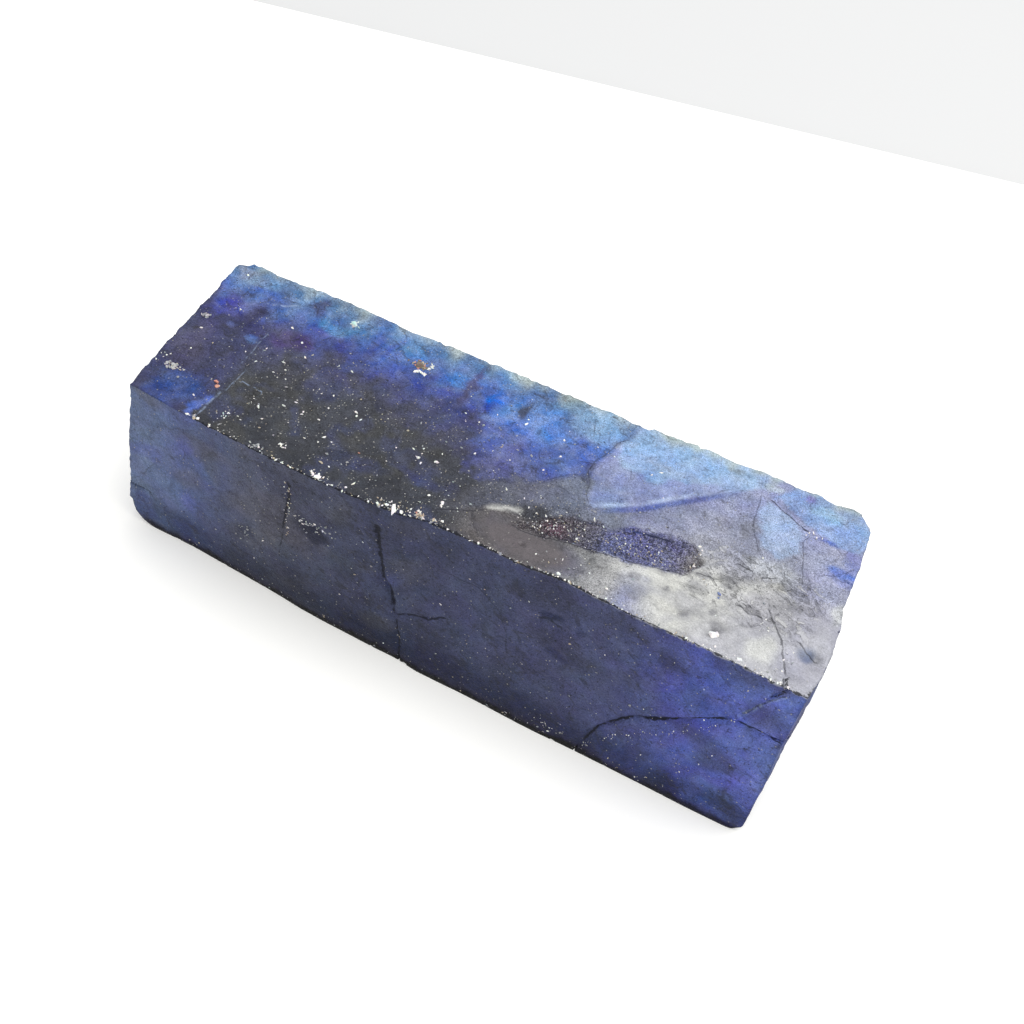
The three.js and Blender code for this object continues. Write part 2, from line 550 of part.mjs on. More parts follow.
const sapphire = new THREE.MeshStandardMaterial({ color: 0x2c3a78, roughness: 0.5, metalness: 0 });
const chunk = new THREE.Mesh(geometry, sapphire);
chunk.name = 'sapphire_chunk';

const part = new THREE.Group();
part.add(chunk);
export default part;
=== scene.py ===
import math
import random

import bmesh
import bpy
import numpy as np
from mathutils import Euler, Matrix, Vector, noise
from mathutils.bvhtree import BVHTree


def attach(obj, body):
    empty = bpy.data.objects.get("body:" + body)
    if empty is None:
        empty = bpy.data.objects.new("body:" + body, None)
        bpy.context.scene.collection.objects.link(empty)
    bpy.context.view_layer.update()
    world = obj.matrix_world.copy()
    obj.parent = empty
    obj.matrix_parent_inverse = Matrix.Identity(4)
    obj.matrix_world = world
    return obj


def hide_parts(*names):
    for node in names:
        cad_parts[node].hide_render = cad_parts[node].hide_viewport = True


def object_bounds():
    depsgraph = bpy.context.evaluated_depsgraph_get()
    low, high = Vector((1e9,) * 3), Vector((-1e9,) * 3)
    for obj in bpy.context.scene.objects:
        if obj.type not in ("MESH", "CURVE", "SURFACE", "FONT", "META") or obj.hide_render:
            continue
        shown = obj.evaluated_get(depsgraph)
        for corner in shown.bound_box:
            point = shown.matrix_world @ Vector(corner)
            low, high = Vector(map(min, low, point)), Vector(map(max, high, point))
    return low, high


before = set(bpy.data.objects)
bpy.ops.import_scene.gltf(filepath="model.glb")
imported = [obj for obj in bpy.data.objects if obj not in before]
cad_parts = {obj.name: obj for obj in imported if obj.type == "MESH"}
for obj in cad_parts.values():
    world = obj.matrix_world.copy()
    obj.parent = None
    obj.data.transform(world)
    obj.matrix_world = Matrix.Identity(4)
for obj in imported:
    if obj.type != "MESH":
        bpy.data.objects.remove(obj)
cad_low, cad_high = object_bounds()
MM = 0.001
scene = bpy.context.scene
scene.view_settings.view_transform = "Standard"


# ------------------------------------------------------------------ camera
# Close in front of the bar and well above it, tipped so that the bar falls away to the right.
# A normal lens from this near gives the bar a strong perspective.

CAMERA_PLACE = Vector((32.457, -103.654, 128.071)) * MM
CAMERA_TURN = (42.672, -8.848, 25.715)  # degrees
SENSOR_WIDTH, LENS = 36, 56.25  # mm

camera = bpy.data.objects.new("camera", bpy.data.cameras.new("camera"))
camera.location = CAMERA_PLACE
camera.rotation_euler = [math.radians(turn) for turn in CAMERA_TURN]
camera.data.sensor_width = SENSOR_WIDTH
camera.data.lens = LENS
camera.data.clip_start = 0.01
scene.collection.objects.link(camera)
scene.camera = camera


# ------------------------------------------------------------------ the stone: its skin
# One bar of deep blue corundum, sawn along its sides and broken at its ends. The solid's flats
# are split fine and eased, then roughened with the grit, lumps and tool waves of real rough.

GRAIN = 0.47 * MM  # longest mesh edge on the sides that show most
FEATURE_ANGLE = math.radians(28)  # a sharper fold than this is an edge of the stone
SPLIT_ROUNDS = 12
EASE_ROUNDS = 6
CRACK_EASE_ROUNDS = 3
QUIET_EASE_ROUNDS = 9
BROW_HEIGHT = 18.5  # mm; the front's cracks end below it, under the bar's top edge
FOOT_WEAR = [(-34.8, 3.0), (35.1, 1.6)]  # mm: where the foot ends at each end, and its wear
SKIN_MARGIN = 0.005  # mm that the skin stays inside the solid's box
FOOT_FLAT = 0.006  # mm; whatever is lower lies flat on the table

stone_mesh = bpy.data.meshes.new("stone")
bm = bmesh.new()
bm.from_mesh(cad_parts["sapphire_chunk"].data)
bmesh.ops.remove_doubles(bm, verts=bm.verts, dist=1e-6)
bmesh.ops.dissolve_degenerate(bm, edges=bm.edges, dist=2e-6)
bmesh.ops.triangulate(bm, faces=[face for face in bm.faces if len(face.verts) > 3])
bm.normal_update()


def longest_on(face):
    """How long a face's edges may be: short on the top and front, long underneath."""
    if face.normal.z < -0.9:
        return 4 * GRAIN
    if face.normal.z > 0.5 or face.normal.y < -0.5:
        return GRAIN
    return 1.7 * GRAIN


def split_long_edges(bm):
    """Halve the longest edge of each face that is still too coarse, round after round."""
    for _ in range(SPLIT_ROUNDS):
        long_edges = set()
        for face in bm.faces:
            lengths = [edge.calc_length() for edge in face.edges]
            longest = max(lengths)
            if longest > longest_on(face):
                long_edges.add(face.edges[lengths.index(longest)])
        if not long_edges:
            return
        bmesh.ops.subdivide_edges(
            bm, edges=list(long_edges), cuts=1, use_grid_fill=True, use_single_edge=True
        )
        bmesh.ops.triangulate(bm, faces=[face for face in bm.faces if len(face.verts) > 3])
        bm.normal_update()


def in_middle(vert):
    """True away from the bar's outer edges, where folds are only cracks and chips in one side."""
    along, back, up = vert.co / MM
    on_the_top = abs(back) < 10.2 and up > 18
    on_the_front = back < -8 and 1 < up < BROW_HEIGHT
    return abs(along) < 33.5 and (on_the_top or on_the_front)


def on_quiet_top(vert):
    """True on the right of the top, where all the relief is low and soft."""
    along, back, up = vert.co / MM
    return up > 18 and 4 < along < 34 and -10.4 < back < 11


def ease(verts, rounds):
    for _ in range(rounds):
        bmesh.ops.smooth_vert(
            bm, verts=verts, factor=0.5, use_axis_x=True, use_axis_y=True, use_axis_z=True
        )


split_long_edges(bm)
hard = {vert for edge in bm.edges if edge.calc_face_angle(0) > FEATURE_ANGLE for vert in edge.verts}
ease([vert for vert in bm.verts if vert not in hard], EASE_ROUNDS)
ease([vert for vert in bm.verts if in_middle(vert)], CRACK_EASE_ROUNDS)
below_brow = [vert for vert in bm.verts if in_middle(vert) and vert.co.z < BROW_HEIGHT * MM]
ease(below_brow, CRACK_EASE_ROUNDS)
ease([vert for vert in bm.verts if on_quiet_top(vert)], QUIET_EASE_ROUNDS)
bm.normal_update()
bm.to_mesh(stone_mesh)
bm.free()


def read_points(mesh, what):
    values = np.empty(3 * len(mesh.vertices), dtype=np.float32)
    mesh.vertices.foreach_get(what, values)
    return values.reshape(-1, 3).astype(np.float64)


def ramp(value, low, high):
    """A soft step from 0 at low to 1 at high; it falls where low is the larger."""
    share = np.clip((value - low) / (high - low), 0, 1)
    return share * share * (3 - 2 * share)


def waves(points, size, seed=0):
    """Soft noise of about -1 to 1; size is a lump's width in mm, one value or three."""
    scaled = points / np.array(size) + 31.7 * seed
    return np.array([noise.noise(point) for point in scaled.tolist()])


def spot(u, v, middle, reach):
    """1 in an oval round middle, 0 outside it, with a soft border."""
    away = np.hypot((u - middle[0]) / reach[0], (v - middle[1]) / reach[1])
    return ramp(away, 1.3, 0.6)


def beside(u, v, path):
    """Signed distance in mm to a path, positive on its left, and the share of it passed."""
    nearest = np.full(len(u), 1e6)
    signed = np.zeros(len(u))
    passed = np.zeros(len(u))
    length = 0
    for (u0, v0), (u1, v1) in zip(path, path[1:]):
        du, dv = u1 - u0, v1 - v0
        share = np.clip(((u - u0) * du + (v - v0) * dv) / (du * du + dv * dv), 0, 1)
        off_u, off_v = u - u0 - share * du, v - v0 - share * dv
        away = np.hypot(off_u, off_v)
        closer = away < nearest
        nearest = np.where(closer, away, nearest)
        signed = np.where(closer, np.where(du * off_v - dv * off_u >= 0, away, -away), signed)
        passed = np.where(closer, length + share * math.hypot(du, dv), passed)
        length += math.hypot(du, dv)
    return signed, passed / length


def within(u, v, outline, soft=0.3):
    """1 inside a closed outline of points in mm, 0 outside it, with a soft border."""
    closed = outline + outline[:1]
    away, _ = beside(u, v, closed)
    inside = np.zeros(len(u), dtype=bool)
    for (u0, v0), (u1, v1) in zip(closed, closed[1:]):
        if v0 != v1:
            inside ^= ((v0 > v) != (v1 > v)) & (u < u0 + (v - v0) * (u1 - u0) / (v1 - v0))
    return ramp(np.where(inside, 1, -1) * np.abs(away), -soft, soft)


# Which side each point of the skin is on, 0 to 1.
place = read_points(stone_mesh, "co") / MM
facing = read_points(stone_mesh, "normal")
x, y, z = place.T
on_top = ramp(facing[:, 2], 0.35, 0.75) * ramp(z, 18.6, 19.4)
on_front = ramp(-facing[:, 1], 0.4, 0.8)
front_side = ramp(y, -9.2, -10.2) * ramp(np.abs(x), 35.5, 34.8)
on_back = ramp(facing[:, 1], 0.4, 0.8)
on_end = ramp(np.abs(facing[:, 0]), 0.4, 0.8)

# The lines that part the zones of the top, in mm: x along the bar, y towards its back.
RIDGE = [
    (-2.6, -9.5), (0.9, -6.6), (2.4, -5.1), (4.5, -4.2), (9.8, -1.7), (14.4, 1.7), (20.6, 7.7),
    (24, 11),
]
LEDGE = [
    (10, -1.2), (8.9, 0.1), (8.7, 1.9), (7.9, 3.2), (7.8, 4.7), (8.6, 6.9), (8.7, 8.4), (9.7, 9.8),
    (10.2, 13),
]
FEATHER = [
    (4.3, -6.5), (7, -4.3), (9, -2.9), (11, -2.3), (12.6, -2.3), (14, -1.3), (15.5, -0.7), (18, -0.3),
    (20.5, -0.1), (21.8, -1.3), (21.3, -3.5), (20.8, -4.2), (18, -4.8), (15.8, -5.3), (13, -5.7),
    (9, -6.4), (6, -6.9),
]

ragged = 0.35 * waves(place, 1.1, 1) + 0.2 * waves(place, 0.5, 2)
past_ridge, _ = beside(x, y, RIDGE)
past_ledge, _ = beside(x, y, LEDGE)
feather = on_top * within(x + 1.8 * ragged, y + 1.8 * ragged, FEATHER, 0.3)
behind_ridge = ramp(past_ridge + 0.5 * ragged, -0.2, 0.3)
right_of_ledge = ramp(-past_ledge + ragged, -0.3, 0.4)
plateau = on_top * right_of_ledge * behind_ridge
before_ridge = on_top * (1 - behind_ridge) * ramp(x, -2, 3)
spoon = on_top * spot(x + 0.5 * y, y, (2.5, -8.3), (5.2, 2.3)) * (1 - feather) * (1 - behind_ridge)
sheen = before_ridge * ramp(x + 0.9 * y, 5.5, 13.5) * ramp(y + 1.6 * waves(place, 3, 3), 0.6, -4)
sheen *= (1 - feather) * (1 - spoon)
sheen *= 1 - ramp(x, 16, 13) * ramp(y, -4.5, -3)

# Small dents in the smooth part: x, y, reach in mm.
DENTS = [
    (26.2, -1.4, 0.7), (27.7, -4.7, 0.6), (29.4, -3, 0.8), (24.6, -4.9, 0.35), (30.6, -5.6, 0.5),
    (22.2, -8.4, 0.4), (26.4, -7.9, 0.7), (25.5, -9.4, 0.8), (29.2, -0.9, 0.5), (31.7, -4.4, 0.6),
    (34.6, -6.6, 0.6), (12.5, -8.8, 0.4), (21.3, -1.8, 0.4), (23.6, -2.9, 0.5), (28.3, -6.4, 0.4),
    (32.8, -2.2, 0.5), (6.4, -8.3, 0.3), (9.6, -7.2, 0.35),
]
dents = np.zeros(len(x))
for across, back, reach in DENTS:
    dent = spot(x + 0.5 * ragged, y + 0.5 * ragged, (across, back), (reach, 0.75 * reach))
    dents = np.maximum(dents, dent)
dents *= on_top * (0.6 + 0.4 * ramp(ragged, -0.2, 0.2))

# How far the skin stands out of the solid, in mm: grit, lumps, and the waves that the saw left.
grit = waves(place, 0.75, 4) + 0.6 * waves(place, 0.42, 5)
lumps = waves(place, (2.6, 2.2, 2.2), 6) + 0.45 * waves(place, 1.1, 7)
drips = waves(place, (1.6, 6, 6), 8)
slanted = np.column_stack([x + 0.5 * z, (z - 0.5 * x) / 4, y])
saw_waves = waves(slanted, 1.3, 9)
lift = 0.035 * grit
lift += on_top * (0.03 * grit + 0.04 * lumps + 0.05 * drips * ramp(y, 0, 6))
lift += sheen * (0.13 * lumps - 0.05 * grit)
lift -= 0.2 * dents
lift += on_top * 0.16 * ramp(np.abs(past_ridge), 0.7, 0.1) * ramp(x, 8, 11) * ramp(x, 24, 20)
lift += feather * 0.11 * grit
lift -= spoon * 0.06 * grit
lift += on_front * (0.03 * lumps + 0.04 * saw_waves)
lift += (on_back + on_end) * (0.06 * grit + 0.1 * lumps)
brow_away = np.hypot(y - cad_low[1] / MM - 0.6, z - 20.1)
lift -= ramp(brow_away, 1.2, 0.2) * 0.16 * np.abs(grit)
lift *= ramp(z, 0, 0.8)
place += facing * lift[:, None]

# Both ends of the foot are worn round, the left one most.
for end, reach in FOOT_WEAR:
    middle_x = end + math.copysign(reach, -end)
    off_x, off_z = (place[:, 0] - middle_x) * math.copysign(1, end), place[:, 2] - reach
    out = np.hypot(off_x, off_z)
    worn = (off_x > 0) & (off_z < 0) & (out > reach)
    shrink = np.where(worn, 1 - (1 - reach / np.maximum(out, reach)) * ramp(y, 6, -6), 1)
    place[:, 0] = np.where(worn, middle_x + (place[:, 0] - middle_x) * shrink, place[:, 0])
    place[:, 2] = np.where(worn, reach + off_z * shrink, place[:, 2])
lowest, highest = np.array(cad_low) / MM + SKIN_MARGIN, np.array(cad_high) / MM - SKIN_MARGIN
place = np.clip(place, lowest, highest)
place[:, 2] = np.where(place[:, 2] < FOOT_FLAT, 0, place[:, 2])
stone_mesh.vertices.foreach_set("co", (place * MM).astype(np.float32).ravel())
stone_mesh.polygons.foreach_set("use_smooth", [True] * len(stone_mesh.polygons))
stone_mesh.update()


# ------------------------------------------------------------------ the stone: its colours
# The blue lies in zones: pale and greenish at the back rim, partly painted light shining through
# the thin edge, royal blue behind, then indigo and a charcoal heart. The right of the top is
# greyer, with a smooth pale part, its paleness partly a painted sheen, and a feather of grit.

TOP_LIGHT, SIDE_LIGHT = 1.22, 0.86  # how bright a white card looks on the top, and on a side
SHEEN_OFF = 0.022  # what the dull shine of the skin adds to every colour


def linear_light(red, green, blue):
    """A colour as it looks on a screen, 0 to 255, turned into linear light."""
    value = np.array([[red, green, blue]]) / 255
    return np.where(value <= 0.04045, value / 12.92, ((value + 0.055) / 1.055) ** 2.4)


def mixed(under, over, share):
    """Lay a share of one tint over another. The upper one may be a screen colour."""
    if isinstance(over, tuple):
        over = linear_light(*over)
    return under + (over - under) * np.clip(share, 0, 1)[:, None]


def ladder(value, stops):
    """A tint for each value, blended between stops of a value and its screen colour."""
    values = [stop for stop, _ in stops]
    colours = np.concatenate([linear_light(*colour) for _, colour in stops])
    return np.column_stack([np.interp(value, values, colours[:, channel]) for channel in range(3)])


def washed(under, *washes):
    """Lay several tints over one, each with its share, one after the other."""
    for over, share in washes:
        under = mixed(under, over, share)
    return under


def dabbed(under, across, up, dabs):
    """Oval dabs over a tint, each with its middle, reach, screen colour and share."""
    for middle, reach, colour, share in dabs:
        under = mixed(under, colour, share * spot(across, up, middle, reach))
    return under


# Screen colours of the stone, as are all the colours below that run from 0 to 255.
CHARCOAL = (77, 79, 86)
DEEP_CHARCOAL = (70, 72, 78)
UMBER = (98, 92, 95)
PEARL_AND_PAINTED_SHEEN = (212, 212, 205)
PALE_RIM_AND_BACKLIGHT = (176, 190, 190)

# The places of the zones sway, so that no border runs straight.
sway = 1.3 * waves(place, 4.5, 11) + 0.6 * waves(place, 1.6, 12)
sway_too = 1.3 * waves(place, 4.5, 13) + 0.6 * waves(place, 1.6, 14)
u, v, w = x + sway, y + sway_too, z + sway_too

# Top, left and middle: the depth from the back rim sets the blue, drawn down in drips. Next to
# the rim its paleness is partly painted light shining through the thin edge.
depth = y + 2.0 * drips + 0.7 * sway + 1.2 * ragged
top_tint = ladder(
    depth,
    [
        (-10, DEEP_CHARCOAL), (-2, CHARCOAL), (0.5, (82, 84, 106)), (3, (80, 85, 126)),
        (5.2, (80, 94, 158)), (7.6, (86, 114, 178)), (10.2, (104, 136, 178)), (12.6, PALE_RIM_AND_BACKLIGHT),
    ],
)
olive = ramp(waves(place, 3.4, 18) + 0.5 * waves(place, 1.3, 19), 0.0, 0.4) * ramp(depth, 4.5, 2)
dusky = ramp(waves(place, 3, 20) + 0.5 * waves(place, 1.2, 21), 0.05, 0.4)
top_tint = washed(
    top_tint,
    ((80, 80, 78), 0.55 * olive),
    ((74, 79, 108), 0.5 * dusky * ramp(depth, 4, 2)),
    ((74, 76, 108), 0.9 * ramp(depth, 6.5, 4) * ramp(u, -26.5, -28.5)),
)
# Dabs: middle, reach, screen colour and share, in mm along the bar and towards its back.
BLUE_DABS = [
    ((-33, 4.2), (2, 1.8), (84, 88, 158), 0.9), ((-29.7, 4), (0.7, 2.2), (62, 64, 92), 0.8),
    ((-30.6, -8.5), (2.6, 3), (74, 92, 148), 0.8), ((-33, -3), (2, 3), (90, 88, 112), 0.6),
    ((-25.4, 3.6), (1.6, 2), (86, 74, 122), 0.7), ((-25, 9.4), (0.9, 1.6), (84, 84, 126), 0.7),
    ((-22, 7.8), (2.6, 1.1), (84, 138, 186), 0.7), ((-34, 10), (1.4, 1), (150, 164, 198), 0.8),
    ((-31.6, 9.8), (1.6, 1.2), (126, 156, 194), 0.8), ((-28.6, 0.8), (0.7, 0.5), (100, 128, 190), 0.6),
    ((-31, 1.4), (0.6, 0.4), (92, 108, 168), 0.5), ((-27.2, -9.6), (0.5, 2), (92, 116, 192), 0.8),
    ((-8.6, 7.4), (1.1, 1.1), (84, 136, 208), 0.8), ((-4, 7.2), (1, 0.8), (72, 122, 218), 0.8),
    ((-6.9, 8), (0.5, 3), (88, 84, 112), 0.75), ((-16, 7), (0.6, 2.4), (66, 88, 172), 0.7),
    ((-10, -7.6), (1.8, 0.9), (66, 74, 120), 0.3), ((-5.4, -6.6), (1.6, 1), (66, 72, 112), 0.6),
]
top_tint = dabbed(top_tint, u + 1.5 * ragged, v + 1.5 * ragged, BLUE_DABS)

# The royal bay left of the ledge, its pale shallows by the rim, and the grey bank before it.
BAY = [
    (-2.6, -2.2), (-0.6, -3.4), (1.2, -2.2), (4, -1.4), (5.6, 0.3), (7.8, 1.9), (8.2, 5), (9.4, 9),
    (4, 9), (-1, 9), (-4, 5),
]
BANK = [
    (-1, -4.5), (1.2, -2.4), (4, -1.2), (5.8, 0.6), (8, 2.4), (10, 0), (10.5, -1.4), (4.4, -4.2),
    (1.5, -6.4), (-2.6, -9.5),
]
bay = on_top * within(x + 2.6 * ragged, y + 3.2 * ragged + 0.4 * sway, BAY, 0.7)
bay_tint = ladder(
    v, [(-3, (90, 95, 136)), (1, (94, 108, 168)), (4, (98, 120, 186)), (8, (110, 146, 206))]
)
bank = on_top * within(x + 2.2 * ragged, y + 2.6 * ragged + 0.4 * sway, BANK, 0.6)
bank_tint = ladder(u, [(-1, (84, 85, 92)), (4, (106, 109, 124)), (8, (120, 126, 144))])
top_tint = washed(
    top_tint,
    (bay_tint, 0.9 * bay),
    ((140, 172, 206), 0.8 * spot(u, v, (6.6, 8.8), (2.8, 2.4))),
    ((72, 74, 84), 0.85 * spot(u, v, (-1, 6.6), (0.6, 1.5))),
    ((98, 100, 152), 0.5 * spot(u, v, (1.2, 0.4), (1.6, 2.6))),
    (bank_tint, bank),
)

# Right of the ledge: a sunken plateau of pastel blues, and grey shoulders before the ridge.
LOBE = [
    (9.3, 9.8), (9.8, 6.6), (10.5, 5.2), (12, 5.6), (13, 4.8), (14.5, 5.2), (15.2, 6.6), (18, 7.2),
    (20, 8.3), (20, 11), (14, 12), (10, 11.5),
]
PLATE = [
    (24.2, 9.6), (25.8, 8.8), (28.2, 7.9), (29, 6), (29.3, 4.2), (27.6, 2.4), (26.2, 3.2), (24.6, 5.6),
    (24, 8),
]
CORNER = [
    (24.8, 10.4), (29.6, 7.8), (32, 7.3), (34.6, 7.5), (35.2, 10.5), (32.5, 12.5), (26, 12.5),
]
MARGIN = [(33, 7.4), (35.6, 7.4), (35.4, 2.2), (33.6, 2.6), (32, 3.2), (33.4, 4.8)]
rough_x, rough_y = x + ragged + 0.4 * sway, y + ragged + 0.4 * sway_too
shoulder_tint = ladder(
    v, [(-3, (168, 168, 174)), (1.5, (158, 161, 178)), (4, (148, 152, 172)), (7, (148, 155, 188))]
)
plateau_tint = ladder(
    v, [(-1, (130, 142, 176)), (3, (138, 148, 188)), (7, (152, 164, 206)), (10, (156, 184, 220))]
)
shoulder_tint = washed(
    shoulder_tint,
    ((136, 141, 173), ramp(u, 20.5, 16)),
    ((156, 159, 186), ramp(u, 29, 32)),
    ((186, 189, 196), 0.8 * spot(u, v, (27.5, 0.6), (3, 1.6))),
    (plateau_tint, plateau * ramp(x, 25, 22)),
)
for outline, colour, share in [
    (LOBE, (148, 176, 214), 0.8), (PLATE, (162, 182, 214), 0.75),
    (CORNER, (136, 166, 212), 0.75), (MARGIN, (122, 132, 190), 0.6),
]:
    shoulder_tint = mixed(shoulder_tint, colour, share * within(rough_x, rough_y, outline, 0.25))
PASTEL_DABS = [
    ((24.1, 4.6), (0.5, 1.6), (130, 130, 134), 0.4), ((28.7, -1.2), (0.9, 0.8), (150, 148, 136), 0.6),
    ((31.2, 7.1), (1.1, 0.35), (76, 104, 180), 0.8), ((27.7, 11.5), (0.6, 0.5), (120, 110, 170), 0.7),
    ((33.4, 4.1), (1.6, 0.6), (88, 116, 200), 0.8), ((30, 10.5), (1.6, 0.8), (166, 200, 222), 0.45),
    ((24.2, 11.4), (1, 0.6), (186, 200, 204), 0.5), ((20.4, 11.2), (0.8, 0.5), (120, 126, 122), 0.5),
]
shoulder_tint = dabbed(shoulder_tint, rough_x, rough_y, PASTEL_DABS)
# The pale rim, partly painted light shining through the thin back edge.
shoulder_tint = mixed(shoulder_tint, PALE_RIM_AND_BACKLIGHT, ramp(depth, 11, 13))
past_strait = ramp(x + 0.6 * ragged - 0.9 * y, 9.5, 12) * ramp(x, 8, 12)
right_side = on_top * np.maximum(plateau * ramp(x, 7.8, 8.6), past_strait)
top_tint = mixed(top_tint, shoulder_tint, right_side)

strait = before_ridge * ramp(x, 6, 8) * ramp(x, 17, 13) * ramp(y, -4.5, -3)
top_tint = mixed(top_tint, ladder(u, [(8, (112, 116, 130)), (13, (122, 128, 148))]), strait)

# Before the ridge: a brown spoon, the smooth pale part, its paleness partly a painted sheen, and
# the feather of grit.
grey_foot = ladder(u, [(8, (108, 104, 104)), (12, (136, 137, 139)), (15, (166, 166, 168))])
by_the_brow = before_ridge * (1 - spoon) * ramp(y, -5, -5.8) * ramp(x, 17, 15)
sheen_clouds = ramp(waves(place, (2.2, 1, 1), 22), 0.15, 0.45)
# Partly painted sheen: pearl over the smooth part, paler on its lumps' crests as painted highlight,
# whitest near (30, -8.8) and greyer to the right.
top_tint = washed(
    top_tint,
    (grey_foot, by_the_brow),
    (PEARL_AND_PAINTED_SHEEN, 0.9 * sheen * (0.35 + 0.65 * ramp(lumps + 0.6 * ragged, -0.5, 0.3))),
    ((150, 150, 152), sheen * 0.6 * sheen_clouds),
    ((166, 166, 176), 0.75 * sheen * ramp(u - 0.5 * v, 27, 32)),
    ((164, 163, 169), 0.5 * sheen * spot(u, v, (29.6, -4.2), (3.2, 1.6))),
    ((210, 211, 205), 0.7 * sheen * spot(u, v, (30, -8.8), (2, 1.4))),
)
SHEEN_SMUDGES = [
    ((17, -6.6), (0.5, 0.5)), ((24.5, -7.3), (0.4, 0.4)), ((27.7, -7), (0.5, 0.3)),
    ((24.6, -2.6), (1, 0.6)), ((20, -6.5), (0.3, 0.3)), ((22.3, -8.8), (0.3, 0.3)),
    ((22.4, -3.3), (1, 0.5)), ((19, -3.4), (1, 0.5)), ((25.7, -8.6), (1, 0.5)),
    ((31, -2.6), (0.8, 0.6)),
]
smudges = [(middle, reach, (124, 124, 130), 0.7) for middle, reach in SHEEN_SMUDGES]
top_tint = dabbed(top_tint, x + ragged, y + ragged, smudges)
top_tint = washed(
    top_tint,
    (UMBER, spoon),
    ((168, 168, 182), 0.6 * before_ridge * ramp(u, 30.5, 33) * ramp(v, 1, -1)),
    ((92, 106, 140), 0.8 * spot(u, v, (34.2, -7.2), (0.9, 1.2))),
)
feather_tint = ladder(
    u,
    [
        (5, (84, 80, 82)), (9, (88, 82, 88)), (12, (98, 98, 114)), (14, (100, 105, 150)),
        (19, (108, 110, 142)), (21, (122, 118, 122)),
    ],
)
top_tint = washed(
    top_tint,
    (feather_tint, feather),
    ((108, 72, 88), 0.4 * feather * spot(x, y, (8, -5.1), (1.2, 0.8))),
)
# Painted shade: the tint is darker in the dents.
top_tint = top_tint * (1 - 0.3 * dents)[:, None]
# Painted highlight along the spoon's rim.
SPOON_RIM = [(1.2, -6.4), (2.2, -5.7), (3.4, -5.1), (5, -4.7)]
past_rim, rim_passed = beside(x, y, SPOON_RIM)
painted_rim_highlight = on_top * ramp(np.abs(past_rim), 0.42, 0.05)
painted_rim_highlight *= ramp(rim_passed, 0, 0.25) * ramp(rim_passed, 1, 0.75)
ledge_dirt = ramp(np.abs(past_ledge + ragged), 0.45, 0.1) * ramp(ragged, -0.3, 0.2)
ledge_dirt *= ramp(y, 11, 9) * ramp(y, -1, 1)
# Painted highlight on the ridge's crest, and painted shade on the step at its foot.
painted_ridge_highlight = ramp(np.abs(past_ridge - 0.6), 0.4, 0.1) * ramp(x, 9, 11.5) * ramp(x, 20, 17)
painted_ridge_highlight *= ramp(ragged, -0.35, 0.1)
painted_ridge_shade = ramp(np.abs(past_ridge + 0.05), 0.4, 0.1) * ramp(x, 10, 13) * ramp(x, 23, 19)
brow = ramp(facing[:, 2], 0.15, 0.4) * ramp(facing[:, 2], 0.98, 0.88)
brow *= ramp(y, -9.4, -10) * ramp(z, 18.2, 18.8)
# A pale line along the right brow, partly worn pale and partly painted highlight.
pale_brow_and_highlight = ramp(brow, 0.1, 0.5) * ramp(x, 20, 26) * ramp(ragged, -0.2, 0.1)
top_tint = washed(
    top_tint,
    ((212, 212, 208), 0.8 * painted_rim_highlight),
    ((100, 104, 100), 0.5 * ledge_dirt),
    ((188, 204, 232), 0.6 * painted_ridge_highlight),
    ((90, 106, 168), 0.75 * painted_ridge_shade),
    ((196, 198, 196), 0.7 * spot(u, v, (35.2, -1), (0.9, 1.3))),
    ((196, 198, 200), 0.5 * pale_brow_and_highlight),
)

# Front: steel blue at the left, slate in the middle, indigo to violet blue at the right.
front_tint = ladder(
    u,
    [
        (-33, (90, 102, 130)), (-28, (77, 86, 120)), (-22, (76, 80, 99)), (-16, (74, 76, 90)),
        (-7, (65, 69, 89)), (12, (68, 71, 95)), (18, (71, 75, 104)), (23, (73, 79, 121)),
        (28, (74, 83, 143)), (34, (83, 94, 152)),
    ],
)
olive_clouds = ramp(waves(place, (4, 3, 3), 23), 0.05, 0.5) * ramp(u, 2, -6)
blue_clouds = ramp(waves(place, 3, 24), 0.1, 0.5) * ramp(u, -24, -29)
dark_clouds = ramp(waves(place, (5, 3, 3), 15), 0, 0.5) * ramp(u, -24, -18)
front_tint = washed(
    front_tint,
    ((80, 80, 86), 0.5 * olive_clouds),
    ((84, 90, 142), 0.45 * blue_clouds),
    ((60, 62, 78), 0.6 * dark_clouds),
)
# The same for the front, in mm along the bar and up.
FRONT_DABS = [
    ((-13.5, 6), (4, 3.4), (62, 66, 82), 0.65), ((-18.6, 11.4), (4.4, 3.2), (90, 88, 95), 0.4),
    ((-25.5, 14), (1.2, 2.2), (74, 76, 88), 0.5), ((-9.6, 10.6), (2, 2.4), (58, 62, 76), 0.6),
    ((27, 15), (4, 4), (74, 86, 152), 0.5), ((-13.4, 12.9), (2.4, 1.1), (46, 48, 58), 0.85),
    ((-4.4, 11), (0.8, 1.4), (72, 80, 118), 0.4), ((11.4, 14.8), (1.3, 0.5), (42, 46, 66), 0.7),
    ((12.8, 10.9), (1.2, 0.5), (50, 54, 76), 0.6), ((14.9, 15.2), (0.5, 0.5), (52, 56, 78), 0.6),
    ((-20.9, 6.6), (0.9, 1.1), (56, 58, 72), 0.7), ((21, 16), (1.2, 2), (66, 72, 124), 0.4),
    ((-6.6, 16.5), (0.3, 0.4), (18, 20, 30), 0.95),
]
front_tint = dabbed(front_tint, u, w, FRONT_DABS)
